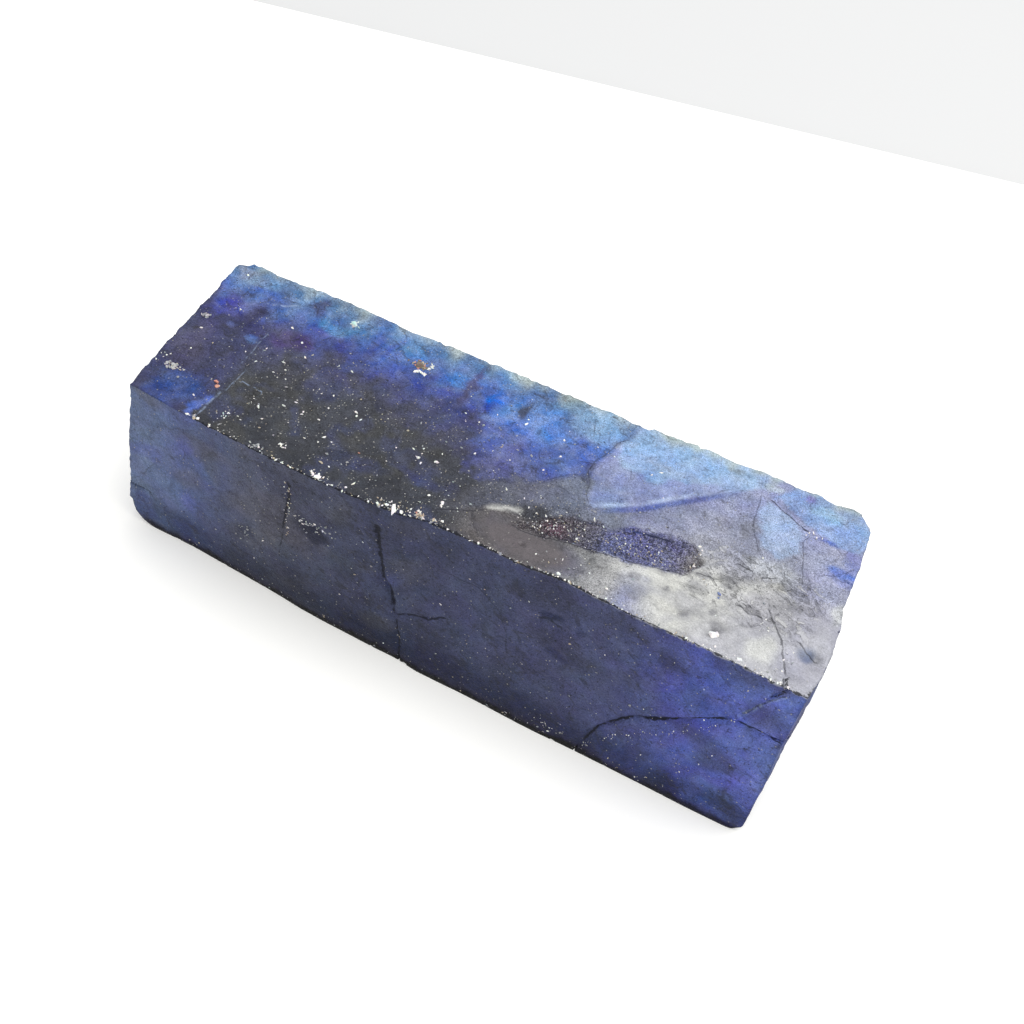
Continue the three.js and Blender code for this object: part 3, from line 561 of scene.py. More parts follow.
# Painted shade: darker towards the foot, darkest in a thin band along it.
front_tint = front_tint * (1 - 0.4 * ramp(z + 2 * ragged, 6.5, 2.2))[:, None]
front_tint = washed(
    front_tint,
    ((58, 54, 60), 0.5 * ramp(z + 0.6 * ragged, 1.6, 0.4)),
    ((26, 24, 28), 0.75 * ramp(z + 1.2 * ragged, 0.9, 0.3)),
)

# Back and ends: royal blue with a pale rim above, partly painted light shining through the thin
# edge, darker towards the foot.
right_end_clouds = on_end * ramp(x, 20, 30) * ramp(waves(place, 5, 25), -0.5, 0.2)
back_tint = np.tile(linear_light(56, 64, 106), (len(x), 1))
back_tint = washed(
    back_tint,
    ((74, 96, 146), ramp(w, 13, 20)),
    ((60, 63, 84), ramp(waves(place, 6, 16), -0.15, 0.4)),
)
back_tint = back_tint * (1 - 0.3 * ramp(z + 2 * ragged, 6.5, 2.2))[:, None]
back_tint = washed(
    back_tint,
    (PALE_RIM_AND_BACKLIGHT, 0.5 * ramp(w, 18.5, 21) * on_back),
    ((60, 62, 94), 0.9 * right_end_clouds),
    ((86, 96, 126), 0.9 * on_end * ramp(x, -24, -30) * ramp(y, -2, -10)),
)

# All the sides together, less what the light and the skin's shine add.
tint = mixed((back_tint - SHEEN_OFF) / SIDE_LIGHT, (front_tint - SHEEN_OFF) / SIDE_LIGHT, front_side)
tint = mixed(tint, (top_tint - SHEEN_OFF) / TOP_LIGHT, on_top)

# Thin dark cracks and pale scratches: each a path, its half width in mm and its strength.
FRONT_CRACKS = [
    ([(-6.6, 16.8), (-6.3, 15), (-5.9, 13), (-5.4, 10.8), (-4.6, 9.8), (-4.1, 8), (-4, 6.8)], 0.23, 1),
    ([(-6.9, 17.6), (-6.6, 16.5), (-6.4, 15.6)], 0.36, 1),
    ([(-4, 7.2), (-3.3, 5), (-2.6, 2.5), (-2.4, 0)], 0.15, 1),
    ([(-3.6, 6.2), (-1.5, 7.3), (-0.2, 7.65), (1.8, 9.1)], 0.11, 0.9),
    ([(-16.2, 17.8), (-16.1, 15.4), (-16.5, 12.9), (-16.6, 10)], 0.2, 1),
    ([(-16.6, 10.4), (-16.7, 8.6), (-16.9, 6)], 0.07, 0.6),
    ([(17.8, 0.3), (18.2, 3), (19, 5), (21.7, 8.3), (24, 9.5), (27, 12), (30.2, 14.3)], 0.125, 1),
    ([(30.2, 14.3), (31.3, 16.2), (32.4, 18.2), (33.6, 20)], 0.11, 0.7),
    ([(30.5, 14.2), (32, 14.1), (33.7, 14.3), (35.1, 14.1)], 0.08, 0.9),
    ([(10.1, 14.8), (11.2, 15), (12.9, 14.7)], 0.16, 0.7),
    ([(0, 14.6), (4, 14.8), (6.6, 13.4), (7.8, 11), (8.3, 8.4)], 0.09, 0.4),
    ([(-34.6, 5.2), (-32.4, 5.1)], 0.14, 0.8),
]
TOP_CRACKS = [
    (
        [
            (9.8, -0.9), (8.9, 0.3), (8.6, 1.9), (7.8, 3.2), (7.8, 4.7), (8.6, 6.9), (8.7, 8.4),
            (9.7, 9.8),
        ],
        0.065, 0.45,
    ),
    ([(2.9, -1.6), (4.6, -0.5), (6.3, 1.5), (7.8, 2.6)], 0.08, 0.4),
    (
        [
            (4.2, -6.6), (6, -6.9), (9, -6.4), (13, -5.7), (15.8, -5.3), (18, -4.8), (20.8, -4.2),
            (21.4, -3.4),
        ],
        0.08, 0.75,
    ),
    ([(9.8, 6.8), (10.5, 5.4), (12, 5.7), (13, 4.9), (14.4, 5.2)], 0.05, 0.35),
    ([(24.5, 9.7), (25.9, 8.8), (28, 8), (29.6, 7.4)], 0.09, 0.8),
    ([(29.4, 7.1), (29.1, 6), (29.6, 4.4), (30.6, 1.2)], 0.07, 0.5),
    ([(23.4, 10.4), (23.8, 8), (24.2, 5.2), (25.2, 3.4), (26.4, 1.6)], 0.08, 0.5),
    ([(28.6, -3), (29.5, -4.5), (31, -6.5), (32.1, -8.7), (32.9, -10.2)], 0.12, 0.75),
    ([(24.4, -0.1), (26.3, -0.3)], 0.08, 0.8),
    ([(27, -0.7), (28.7, 0.4)], 0.07, 0.7),
    ([(26.3, -4.8), (27.6, -5.1), (29, -5.1)], 0.1, 0.9),
    ([(21.6, -3.3), (23.6, -3.2)], 0.06, 0.7),
    ([(32.4, -5.9), (33.6, -6.8), (34.9, -6.9)], 0.1, 0.8),
    ([(31.5, 2.7), (33.2, 3.6), (34.6, 5.4)], 0.1, 0.4),
    ([(-2.4, -9.3), (0.5, -7.4), (1.6, -6.4)], 0.08, 0.6),
]
FRONT_SCRATCHES = [([(30.4, 14.6), (31.5, 16.4), (32.6, 18.4), (33.8, 20)], 0.2, 0.6)]
TOP_SCRATCHES = [
    ([(-26.9, -6.8), (-27, -9), (-27.1, -11.4)], 0.15, 1),
    ([(-26.5, -2.8), (-26.6, -6.6)], 0.08, 0.7),
    ([(-27.6, 3), (-27.5, 0), (-27.4, -2.6)], 0.09, 0.6),
    ([(-26.2, -4.6), (-23.5, -4.8)], 0.09, 0.9),
    ([(-30.2, 6.7), (-28.4, 7.3), (-27.2, 8.5)], 0.13, 1),
]


LINE_REACH = 0.8  # mm to each side in which a line's distance is kept
FAR_OFF = 4.0  # widths; what is kept where no line is near


def line_fields(groups):
    """The distance to the nearest line in half widths, and its strength near it, else 0."""
    offset = np.full(len(x), FAR_OFF)
    near = np.zeros(len(x))
    for across, up, side, lines in groups:
        for path, width, strength in lines:
            signed, passed = beside(across, up, path)
            wobbly = signed + 0.25 * ragged
            taken = (np.abs(wobbly) < LINE_REACH) & side & (passed > 0) & (passed < 1)
            offset = np.where(taken, wobbly / width, offset)
            ends = ramp(passed, 0, 0.06) * ramp(passed, 1, 0.94)
            near = np.where(taken, strength * ends * ramp(np.abs(wobbly), LINE_REACH, 0.55), near)
    return offset, near


in_front, above = (y < -9.6) & (z < 19.9), (z > 18.9) & (y > -11.8)
crack_offset, crack_near = line_fields([(x, z, in_front, FRONT_CRACKS), (x, y, above, TOP_CRACKS)])
scratch_offset, scratch_near = line_fields(
    [(x, z, in_front, FRONT_SCRATCHES), (x, y, above, TOP_SCRATCHES)]
)

# Where each kind of mark lies, 0 to 1 or a little over.
speckled = on_top * (1 - sheen) * (1 - plateau) * (1 - spoon)
speckled *= 0.35 + 0.65 * ramp(depth, 4, 0) * ramp(x, -30, -26)
speckled = np.maximum(speckled, 0.3 * feather)
speckled = np.maximum(speckled, 0.12 * on_front)
grainy = np.maximum(0.3 * right_side, 0.7 * before_ridge * (1 - sheen) * (1 - spoon))
grainy = np.maximum(grainy, 3 * feather)
smooth = np.maximum(sheen, 0.8 * spoon)
calm = np.maximum(0.62 * smooth, 0.25 * np.maximum(front_side, ramp(-facing[:, 1], 0.3, 0.6)))
calm = np.maximum(calm, 0.3 * right_side)
calm = np.maximum(calm, painted_rim_highlight)
gouged = on_top * ramp(x + ragged, 19, 23) * ramp(x, 34.5, 32)
gouged *= ramp(y + ragged, 2.6, 0.5) * ramp(y + ragged, -8, -4.5)

tint_layer = stone_mesh.attributes.new("tint", "FLOAT_COLOR", "POINT")
rgba = np.column_stack([np.clip(tint, 0.002, 1), np.ones(len(x))]).astype(np.float32)
tint_layer.data.foreach_set("color", rgba.ravel())
for name, values in [
    ("crack", crack_offset), ("crack_near", crack_near),
    ("scratch", scratch_offset), ("scratch_near", scratch_near),
    ("speckled", speckled), ("grainy", grainy), ("smooth", smooth), ("calm", calm),
    ("lively", 0.35 + 0.65 * on_top), ("gouged", gouged), ("gritty", feather),
    ("brow", brow * ramp(x, -29, -26) * (1.15 - 0.4 * ramp(x, 8, 20))),
    ("front", front_side * on_front * ramp(x, -26, -18)),
]:
    attribute = stone_mesh.attributes.new(name, "FLOAT", "POINT")
    attribute.data.foreach_set("value", np.asarray(values, dtype=np.float32))


# ------------------------------------------------------------------ the stone: its material
# Corundum, ground dull by the saw and by wear: hardly any shine but on the smooth pale part. Over
# its tint lie clouds, veins, sand, cracks and grains that are too fine for the mesh to hold.


class Nodes:
    """Short ways to add the nodes of one material."""

    def __init__(self, name):
        self.material = bpy.data.materials.new(name)
        self.material.use_nodes = True
        self.tree = self.material.node_tree
        self.shader = self.tree.nodes["Principled BSDF"]
        coordinates = self.tree.nodes.new("ShaderNodeTexCoord")
        in_mm = self.add("ShaderNodeVectorMath", operation="SCALE")
        in_mm.inputs["Scale"].default_value = 1 / MM
        self.tree.links.new(coordinates.outputs["Object"], in_mm.inputs[0])
        self.place = in_mm.outputs[0]

    def add(self, kind, **settings):
        node = self.tree.nodes.new(kind)
        for name, value in settings.items():
            setattr(node, name, value)
        return node

    def put(self, socket, value):
        if isinstance(value, bpy.types.NodeSocket):
            self.tree.links.new(value, socket)
        else:
            socket.default_value = value

    def math(self, operation, *values):
        node = self.add("ShaderNodeMath", operation=operation)
        for socket, value in zip(node.inputs, values):
            self.put(socket, value)
        return node.outputs[0]

    def step(self, value, low, high):
        node = self.add("ShaderNodeMapRange", interpolation_type="SMOOTHSTEP")
        self.put(node.inputs["Value"], value)
        self.put(node.inputs["From Min"], low)
        self.put(node.inputs["From Max"], high)
        return node.outputs["Result"]

    def total(self, value, *others):
        for other in others:
            value = self.math("ADD", value, other)
        return value

    def product(self, value, *others):
        for other in others:
            value = self.math("MULTIPLY", value, other)
        return value

    def band(self, value, outer, inner):
        """1 where a value is within inner of 0, falling to 0 at outer."""
        return self.step(self.math("ABSOLUTE", value), outer, inner)

    def attribute(self, name, output="Fac"):
        return self.add("ShaderNodeAttribute", attribute_name=name).outputs[output]

    def noise(self, size, detail=3, stretch=None, distortion=0.0):
        node = self.add("ShaderNodeTexNoise")
        node.inputs["Scale"].default_value = 1 / size
        node.inputs["Detail"].default_value = detail
        node.inputs["Distortion"].default_value = distortion
        self.put(node.inputs["Vector"], self.stretched(stretch) if stretch else self.place)
        return node.outputs[0]

    def stretched(self, stretch):
        turn, size = stretch
        node = self.add("ShaderNodeMapping", vector_type="TEXTURE")
        node.inputs["Rotation"].default_value = turn
        node.inputs["Scale"].default_value = size
        self.put(node.inputs["Vector"], self.place)
        return node.outputs[0]

    def grains(self, size):
        """Distance to the nearest grain's middle, and a random colour for each grain."""
        node = self.add("ShaderNodeTexVoronoi")
        node.inputs["Scale"].default_value = 1 / size
        self.put(node.inputs["Vector"], self.place)
        apart = self.add("ShaderNodeSeparateColor")
        self.put(apart.inputs[0], node.outputs["Color"])
        return node.outputs["Distance"], apart.outputs[0], apart.outputs[1]

    def patches(self, size, warp):
        """Two random values for each irregular patch, and the distance to the patch's border."""
        bend = self.add("ShaderNodeTexNoise")
        bend.inputs["Scale"].default_value = 0.7 / size
        bend.inputs["Detail"].default_value = 4
        self.put(bend.inputs["Vector"], self.place)
        push = self.add("ShaderNodeVectorMath", operation="MULTIPLY_ADD")
        self.put(push.inputs[0], bend.outputs["Color"])
        push.inputs[1].default_value = (warp, warp, warp)
        self.put(push.inputs[2], self.place)
        cells = self.add("ShaderNodeTexVoronoi", feature="SMOOTH_F1")
        cells.inputs["Scale"].default_value = 1 / size
        cells.inputs["Smoothness"].default_value = 0.25
        self.put(cells.inputs["Vector"], push.outputs[0])
        borders = self.add("ShaderNodeTexVoronoi", feature="DISTANCE_TO_EDGE")
        borders.inputs["Scale"].default_value = 1 / size
        self.put(borders.inputs["Vector"], push.outputs[0])
        apart = self.add("ShaderNodeSeparateColor")
        self.put(apart.inputs[0], cells.outputs["Color"])
        return apart.outputs[0], apart.outputs[1], borders.outputs["Distance"]

    def grey(self, value):
        node = self.add("ShaderNodeCombineColor")
        for socket in node.inputs[:3]:
            self.put(socket, value)
        return node.outputs[0]

    def mix(self, share, under, over, blend="MIX"):
        node = self.add("ShaderNodeMix", data_type="RGBA", blend_type=blend, clamp_factor=True)
        self.put(node.inputs[0], share)
        self.put(node.inputs[6], under)
        self.put(node.inputs[7], over)
        return node.outputs[2]


# Linear colours of the marks that lie over the tint.
MARKS = {
    "vein": (0.02, 0.02, 0.025),
    "pit": (0.008, 0.008, 0.014),
    "blotch": (0.03, 0.03, 0.04),
    "scuff": (0.1, 0.1, 0.11),
    "smear": (0.014, 0.015, 0.022),
    "dark grain": (0.012, 0.012, 0.02),
    "pale grain": (0.36, 0.36, 0.4),
    # The gouge mark is painted shade in the gouges, the chip mark painted highlight on the chips.
    "gouge": (0.1, 0.1, 0.11),
    "chip": (0.68, 0.68, 0.65),
    "fine chip": (0.05, 0.05, 0.06),
    "brow dirt and shadow": (0.008, 0.009, 0.015),
    "crack": (0.003, 0.004, 0.012),
    "scratch": (0.3, 0.38, 0.55),
}
STREAK_LIFT = (1.9, 1.8, 1.5, 1)
# Pale specks: size in mm, how rare they are, paleness, and how far each fills its cell.
SPECKS = [(0.33, 0.6, 0.26, 0.36), (0.62, 0.72, 0.42, 0.26), (1.2, 0.84, 0.6, 0.2)]
PATCH_SIZE, PATCH_WARP = 2.8, 3.96  # mm
SHADE_MIDDLE = 1.66  # the usual sum of the clouds, at which the tint is left as it is
SAND_MIDDLE = 0.625
ROUGHNESS, SHEEN_POLISH = 0.62, 0.2
CORUNDUM_IOR = 1.77
BUMP_HEIGHT = 0.22 * MM


def corundum():
    n = Nodes("corundum")
    colour = n.attribute("tint", "Color")
    grainy, speckled, smooth = n.attribute("grainy"), n.attribute("speckled"), n.attribute("smooth")
    front, gritty, gouged = n.attribute("front"), n.attribute("gritty"), n.attribute("gouged")
    rough = n.math("SUBTRACT", 1.0, n.attribute("calm"))

    def marked(mark, share):
        """The colour so far with a share of one mark over it."""
        return n.mix(share, colour, (*MARKS[mark], 1))

    # Clouds and irregular patches a few millimetres wide, each a little lighter or bluer.
    patch, patch_too, border = n.patches(PATCH_SIZE, PATCH_WARP)
    shade = n.total(
        n.product(patch, 0.32),
        n.product(n.noise(1.1, 4, distortion=1.2), 0.5),
        n.product(n.noise(2.4, 5, distortion=0.8), 0.9),
        n.product(n.noise(0.7, 5), 0.7),
        n.product(n.noise(0.22, 3), 0.9),
        -SHADE_MIDDLE,
    )
    shade = n.total(n.product(shade, rough), 1.0)
    colour = n.mix(1.0, colour, n.grey(shade), "MULTIPLY")
    shift = n.add("ShaderNodeHueSaturation")
    n.put(shift.inputs["Hue"], n.total(0.475, n.product(n.noise(3.4, 4, distortion=0.6), 0.05)))
    strong = n.total(n.product(n.noise(1.7, 4, distortion=0.5), 0.7), n.product(patch_too, 0.1), -0.4)
    n.put(shift.inputs["Saturation"], n.total(0.98, n.product(strong, n.attribute("lively"))))
    n.put(shift.inputs["Color"], colour)
    colour = shift.outputs[0]
    vein = n.product(n.step(border, 0.06, 0.0), n.step(n.noise(1.6, 3), 0.48, 0.62), rough)
    colour = marked("vein", n.product(vein, 0.5))

    # Sand: light and dark grains too fine to part, strongest on the grainy right.
    sand = n.total(n.noise(0.12, 2), n.product(n.noise(0.3, 2), 0.25), -SAND_MIDDLE)
    strength = n.product(n.total(0.4, n.product(grainy, 0.35)), rough)
    sand = n.total(1.0, n.product(sand, 5.0, strength))
    colour = n.mix(1.0, colour, n.grey(n.math("MAXIMUM", sand, 0.15)), "MULTIPLY")
    pit = n.step(n.total(n.noise(0.3, 3), n.product(front, 0.035)), 0.65, 0.7)
    colour = marked("pit", n.product(pit, rough, 0.8))
    blotch = n.step(n.noise(0.8, 4, distortion=1.0), 0.62, 0.7)
    colour = marked("blotch", n.product(blotch, rough, 0.45))

    # Faint scuffs across the smooth part.
    scuff = n.noise(0.5, 4, stretch=((0, 0, -0.3), (3.2, 0.6, 1)))
    scuff = n.product(n.band(n.total(scuff, -0.5), 0.035, 0.0), smooth)
    colour = marked("scuff", n.product(scuff, 0.22))

    # Thin pale streaks down the sawn front, and dark smears in a few places on it.
    streak = n.noise(1.0, 3, stretch=((0, 0.45, 0), (3, 1, 0.5)))
    streak = n.product(n.step(streak, 0.58, 0.72), front)
    colour = n.mix(n.product(streak, 0.2), colour, n.mix(1.0, colour, STREAK_LIFT, "MULTIPLY"))
    smear = n.noise(1.2, 5, stretch=((0, 0.45, 0), (1.4, 1, 0.8)), distortion=1.1)
    smear = n.product(n.step(smear, 0.53, 0.64), n.step(n.noise(5.5, 3), 0.46, 0.58), front)
    colour = marked("smear", n.product(smear, 0.5))

    # Coarse dark and pale grains in the feather.
    dark_grain = n.product(n.step(n.noise(0.34, 4), 0.53, 0.6), gritty)
    pale_grain = n.product(n.step(n.noise(0.24, 4, distortion=0.6), 0.6, 0.66), gritty)
    colour = marked("dark grain", n.product(dark_grain, 0.7))
    colour = marked("pale grain", n.product(pale_grain, 0.6))

    # Short gouges and chips where the plateau meets the sheen: the sunk gouges darkened as painted
    # shade, the raised chips paled as painted highlight.
    scars = n.noise(1.0, 5, stretch=((0, 0, -0.35), (1.35, 0.85, 1)), distortion=0.6)
    gouge = n.product(n.step(scars, 0.53, 0.68), gouged)
    chip = n.product(n.step(scars, 0.45, 0.35), gouged)
    fine_chip = n.product(n.step(n.noise(0.32, 5, distortion=0.9), 0.59, 0.66), gouged)
    colour = marked("gouge", n.product(gouge, 0.32))
    colour = marked("chip", n.product(chip, 0.32))
    colour = marked("fine chip", n.product(fine_chip, 0.6))

    # Dark dirt along the front brow, partly painted shadow under its edge.
    ragged_dirt = n.total(n.noise(0.45, 4), n.product(n.noise(1.6, 3), 0.6), -0.8)
    dirt = n.total(n.attribute("brow"), n.product(ragged_dirt, 1.7))
    colour = marked("brow dirt and shadow", n.product(n.step(dirt, 0.4, 0.6), 0.9))

    # Jagged cracks, here and there closed, and rubbed scratches.
    jagged = n.product(n.total(n.noise(0.4, 4), -0.5), 3.4)
    crack = n.band(n.total(n.attribute("crack"), jagged), 1.3, 0.5)
    crack = n.product(crack, n.attribute("crack_near"), n.step(n.noise(0.8, 3), 0.26, 0.46))
    colour = marked("crack", n.product(crack, 0.95))
    scratch = n.band(n.attribute("scratch"), 1.3, 0.3)
    scratch = n.product(scratch, n.attribute("scratch_near"), n.step(n.noise(0.5, 3), 0.35, 0.6))
    colour = marked("scratch", n.product(scratch, 0.5))

    # Pale specks of three sizes, thickest on the charcoal and the feather.
    for size, rarity, paleness, fill in SPECKS:
        away, pick, pick_too = n.grains(size)
        frayed = n.total(away, n.product(n.noise(0.16, 2), 0.5))
        speck = n.step(frayed, n.total(fill + 0.04, n.product(pick_too, 0.16)), fill)
        likely = n.total(pick, n.product(speckled, 0.3))
        speck = n.product(speck, n.step(likely, rarity + 0.28, rarity + 0.32))
        pale = (paleness, paleness * 0.97, paleness * 0.9, 1)
        colour = n.mix(n.product(speck, 0.85), colour, pale)
    n.put(n.shader.inputs["Base Color"], colour)

    polish = n.product(smooth, SHEEN_POLISH)
    n.put(n.shader.inputs["Roughness"], n.math("SUBTRACT", ROUGHNESS, polish))
    n.shader.inputs["IOR"].default_value = CORUNDUM_IOR
    n.shader.inputs["Specular IOR Level"].default_value = 0.1
    n.put(n.shader.inputs["Coat Weight"], n.product(smooth, 0.7))
    n.shader.inputs["Coat Roughness"].default_value = 0.22

    # Grit felt as bumps, finer than the mesh holds.
    height = n.total(n.product(n.noise(0.22, 3), 0.7), n.product(n.noise(0.8, 4), 0.9))
    height = n.product(height, n.total(rough, 0.15))
    scar_depth = n.product(n.total(gouge, n.product(chip, -0.5)), 1.2)
    bump = n.add("ShaderNodeBump")
    bump.inputs["Distance"].default_value = BUMP_HEIGHT
    bump.inputs["Strength"].default_value = 1.0
    n.put(bump.inputs["Height"], n.math("SUBTRACT", height, scar_depth))
    n.put(n.shader.inputs["Normal"], bump.outputs[0])
    return n.material


stone_mesh.materials.append(corundum())
stone = bpy.data.objects.new("stone", stone_mesh)
scene.collection.objects.link(stone)
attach(stone, "root")
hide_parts("sapphire_chunk")


# ------------------------------------------------------------------ crumbs
# Splinters and grains of the same specimen that stick to the stone: white and tan feldspar and
# mica, a few rusty ones. They are broken grains, half sunk in the dirt of the skin.

SINK = 0.25  # share of a crumb's size that is buried
CRUMB_MARGIN = 0.01 * MM  # how far the crumbs stay inside the solid's box
TOP_BEGINS = 19.2  # mm; a point of the brow that is higher belongs to the top
USUAL_BROW = -10.8  # mm; where the top begins if it isn't found
CRUMB_COLOURS = {
    "snow": (0.85, 0.85, 0.83),
    "white": (0.78, 0.77, 0.74),
    "pale": (0.42, 0.41, 0.41),
    "grey": (0.26, 0.27, 0.29),
    "tan": (0.42, 0.36, 0.27),
    "brown": (0.2, 0.16, 0.12),
    "rust": (0.6, 0.27, 0.2),
    "green": (0.5, 0.64, 0.62),
    "blue": (0.13, 0.17, 0.36),
}
# Crumbs that stand out: x, y, size in mm and kind.
TOP_CRUMBS = [
    (-22.8, -6.7, 0.6, "white"), (-21.7, -7.9, 0.5, "white"), (-15.5, -6.8, 0.55, "white"),
    (-15.7, -7.6, 0.3, "white"), (-17.1, -3.2, 0.5, "white"), (-17.2, -5, 0.4, "white"),
    (-14.6, -2.2, 0.45, "white"), (-20.1, -4.2, 0.35, "white"), (-24.2, -1.7, 0.4, "white"),
    (-22.7, 1.8, 0.35, "white"), (-24.1, 3.6, 0.4, "white"), (-17.8, 2.6, 0.45, "white"),
    (-26.4, -1.4, 0.3, "white"), (-10.2, -10.6, 0.45, "white"), (-13.2, -9.9, 0.3, "white"),
    (-17, -7.9, 0.35, "white"), (-33.4, -0.2, 0.4, "white"), (-34, 9.4, 0.45, "white"),
    (-31.7, 4.3, 0.3, "white"), (-11.7, -6.8, 0.35, "rust"), (-6.8, -4.2, 0.6, "white"),
    (-6.2, -4.7, 0.5, "white"), (-5, -3.8, 0.5, "white"), (-2.1, -8.2, 0.5, "white"),
    (-2, -8.6, 0.4, "white"), (-2.4, -0.8, 0.4, "white"), (0.1, 5.6, 0.5, "snow"),
    (4.8, 3.4, 0.45, "white"), (2.2, -3.4, 0.4, "white"), (5, -4.2, 0.4, "white"),
    (25.5, -9.5, 1.1, "snow"), (25.9, -9.3, 0.9, "snow"), (28.6, -10.9, 0.6, "white"),
    (24.4, -4.6, 0.5, "blue"), (24.5, -5.2, 0.35, "blue"), (10.9, -2.2, 0.45, "white"),
    (10.8, -10.3, 0.5, "white"), (10.4, -8.4, 0.35, "white"), (16.9, -7.2, 0.35, "grey"),
    (7.1, -11, 0.4, "brown"), (-28, -6, 0.7, "rust"), (-27.6, -6.5, 0.7, "rust"),
    (-13.4, -11.6, 1.2, "snow"), (-14, -11.5, 0.6, "white"), (-5.5, -11.4, 1.1, "snow"),
    (-4.7, -11.4, 0.6, "white"), (-6.3, -11.3, 0.6, "white"), (-3.3, -10.8, 0.7, "tan"),
    (-2.9, -10.5, 0.5, "tan"), (-3.5, -10.3, 0.45, "white"), (-12.6, 7.2, 1.5, "brown"),
    (-21.1, 8.9, 0.8, "green"),
]
# Clusters of small grains: middle, reach, count, size in mm and kinds.
CLUSTERS = [
    ((-32.6, -6.3), (0.75, 0.3), 34, 0.42, ["pale", "tan", "pale", "grey"]),
    ((-34, 1.6), (0.4, 0.25), 14, 0.42, ["pale", "pale", "grey"]),
    ((-21.1, 8.9), (0.3, 0.3), 22, 0.34, ["green", "pale", "green", "white"]),
    ((-12.2, 6.4), (0.7, 0.2), 14, 0.35, ["white", "snow"]),
    ((-11.6, 7.2), (0.18, 0.6), 12, 0.3, ["white", "tan"]),
    ((-12.6, 7.3), (0.65, 0.55), 30, 0.35, ["brown", "rust", "tan", "brown"]),
    ((-24.8, -9.4), (0.6, 0.5), 14, 0.25, ["white", "green"]),
    ((-18.3, -9.8), (0.4, 0.4), 9, 0.3, ["white"]),
    ((-27.2, -11.2), (0.9, 0.25), 9, 0.27, ["white", "pale"]),
    ((-20.3, -11.3), (1.1, 0.4), 16, 0.27, ["white", "pale", "grey"]),
    ((-14, -11.4), (1.4, 0.3), 9, 0.26, ["white", "pale"]),
    ((-6, -11.1), (1.6, 0.4), 14, 0.28, ["white", "pale", "tan"]),
    ((-3.2, -10.6), (0.5, 0.4), 14, 0.28, ["tan", "white", "rust"]),
    ((-34.2, -5), (0.5, 0.8), 8, 0.25, ["white"]),
    ((29, -5.9), (0.9, 1.2), 14, 0.22, ["white", "grey"]),
    ((32.3, -9), (0.5, 1.4), 14, 0.22, ["white", "grey"]),
    ((21, -1.6), (0.6, 1), 26, 0.22, ["white", "tan", "grey"]),
    ((9, -4.4), (2.6, 1.2), 60, 0.22, ["white", "tan", "grey"]),
    ((16, -2.8), (3.6, 1.4), 60, 0.2, ["white", "tan", "grey"]),
    ((6.6, -5.6), (1.6, 0.5), 20, 0.2, ["white", "tan"]),
    ((29.6, 7.2), (0.7, 0.4), 8, 0.22, ["white", "grey"]),
]
# Where the dust lies: how many grains, the middle of the patch and its reach in x and y, in mm.
DUST = [
    (170, (-12, -5.5), (13, 4.6)), (70, (-12, 1), (13, 3)), (60, (-28, -2), (5, 8)),
    (45, (0, 5), (9, 5)), (40, (-4, -10.6), (3.5, 0.8)), (30, (27, -4), (6, 6)), (20, (14, 5), (6, 4)),
    (40, (5, -3.5), (5, 1.6)), (30, (12, -8.6), (4, 1.6)),
]
dice = random.Random(7)
skin = BVHTree.FromPolygons(
    [vert.co for vert in stone_mesh.vertices], [polygon.vertices[:] for polygon in stone_mesh.polygons]
)
crumb_bm = bmesh.new()
crumb_layer = crumb_bm.verts.layers.float_color.new("tint")


def add_crumb(middle, size, kind):
    """One broken grain: a twenty-faced ball, pushed out of round, turned and flattened."""
    made = bmesh.ops.create_icosphere(crumb_bm, subdivisions=1, radius=size / 2)["verts"]
    stretch = Vector((dice.uniform(0.8, 1.5), dice.uniform(0.45, 0.9), dice.uniform(0.35, 0.7)))
    turn = Vector((dice.uniform(-0.4, 0.4), dice.uniform(-0.4, 0.4), dice.uniform(0, 6.28)))
    for vert in made:
        vert.co *= dice.uniform(0.45, 1.2)
        vert.co *= stretch
        vert.co.rotate(Euler(turn))
        vert.co += middle
        vert[crumb_layer] = (*[channel * dice.uniform(0.85, 1.1) for channel in CRUMB_COLOURS[kind]], 1)


def drop_on_top(across, back, size, kind):
    hit, normal, _, _ = skin.ray_cast(Vector((across, back, 40)) * MM, Vector((0, 0, -1)))
    if hit is None or normal.z < 0.3:
        return
    add_crumb(hit + normal * size * MM * (0.3 - SINK), size * MM, kind)


def press_on_front(across, up, size, kind):
    hit, normal, _, _ = skin.ray_cast(Vector((across, -40, up)) * MM, Vector((0, 1, 0)))
    if hit is None or normal.y > -0.3:
        return
    add_crumb(hit + normal * size * MM * (0.2 - SINK), size * MM, kind)


def brow_at(across):
    """Where the top begins, going back from the front."""
    back = cad_low[1] / MM
    while back < -9:
        hit = skin.ray_cast(Vector((across, back, 40)) * MM, Vector((0, 0, -1)))[0]
        if hit is not None and hit.z > TOP_BEGINS * MM:
            return back
        back += 0.1
    return USUAL_BROW


def grain_size(least, spread, rarity):
    """A size in mm: most grains are near the least, and few near the largest."""
    return least + spread * dice.random() ** rarity


for across, back, size, kind in TOP_CRUMBS:
    drop_on_top(across, max(back, brow_at(across) + 0.2 * size), size, kind)
for middle, reach, count, size, kinds in CLUSTERS:
    for _ in range(count):
        across = dice.gauss(middle[0], reach[0] / 1.6)
        back = max(dice.gauss(middle[1], reach[1] / 1.6), brow_at(across) + 0.1)
        drop_on_top(across, back, size * dice.uniform(0.6, 1.3), dice.choice(kinds))

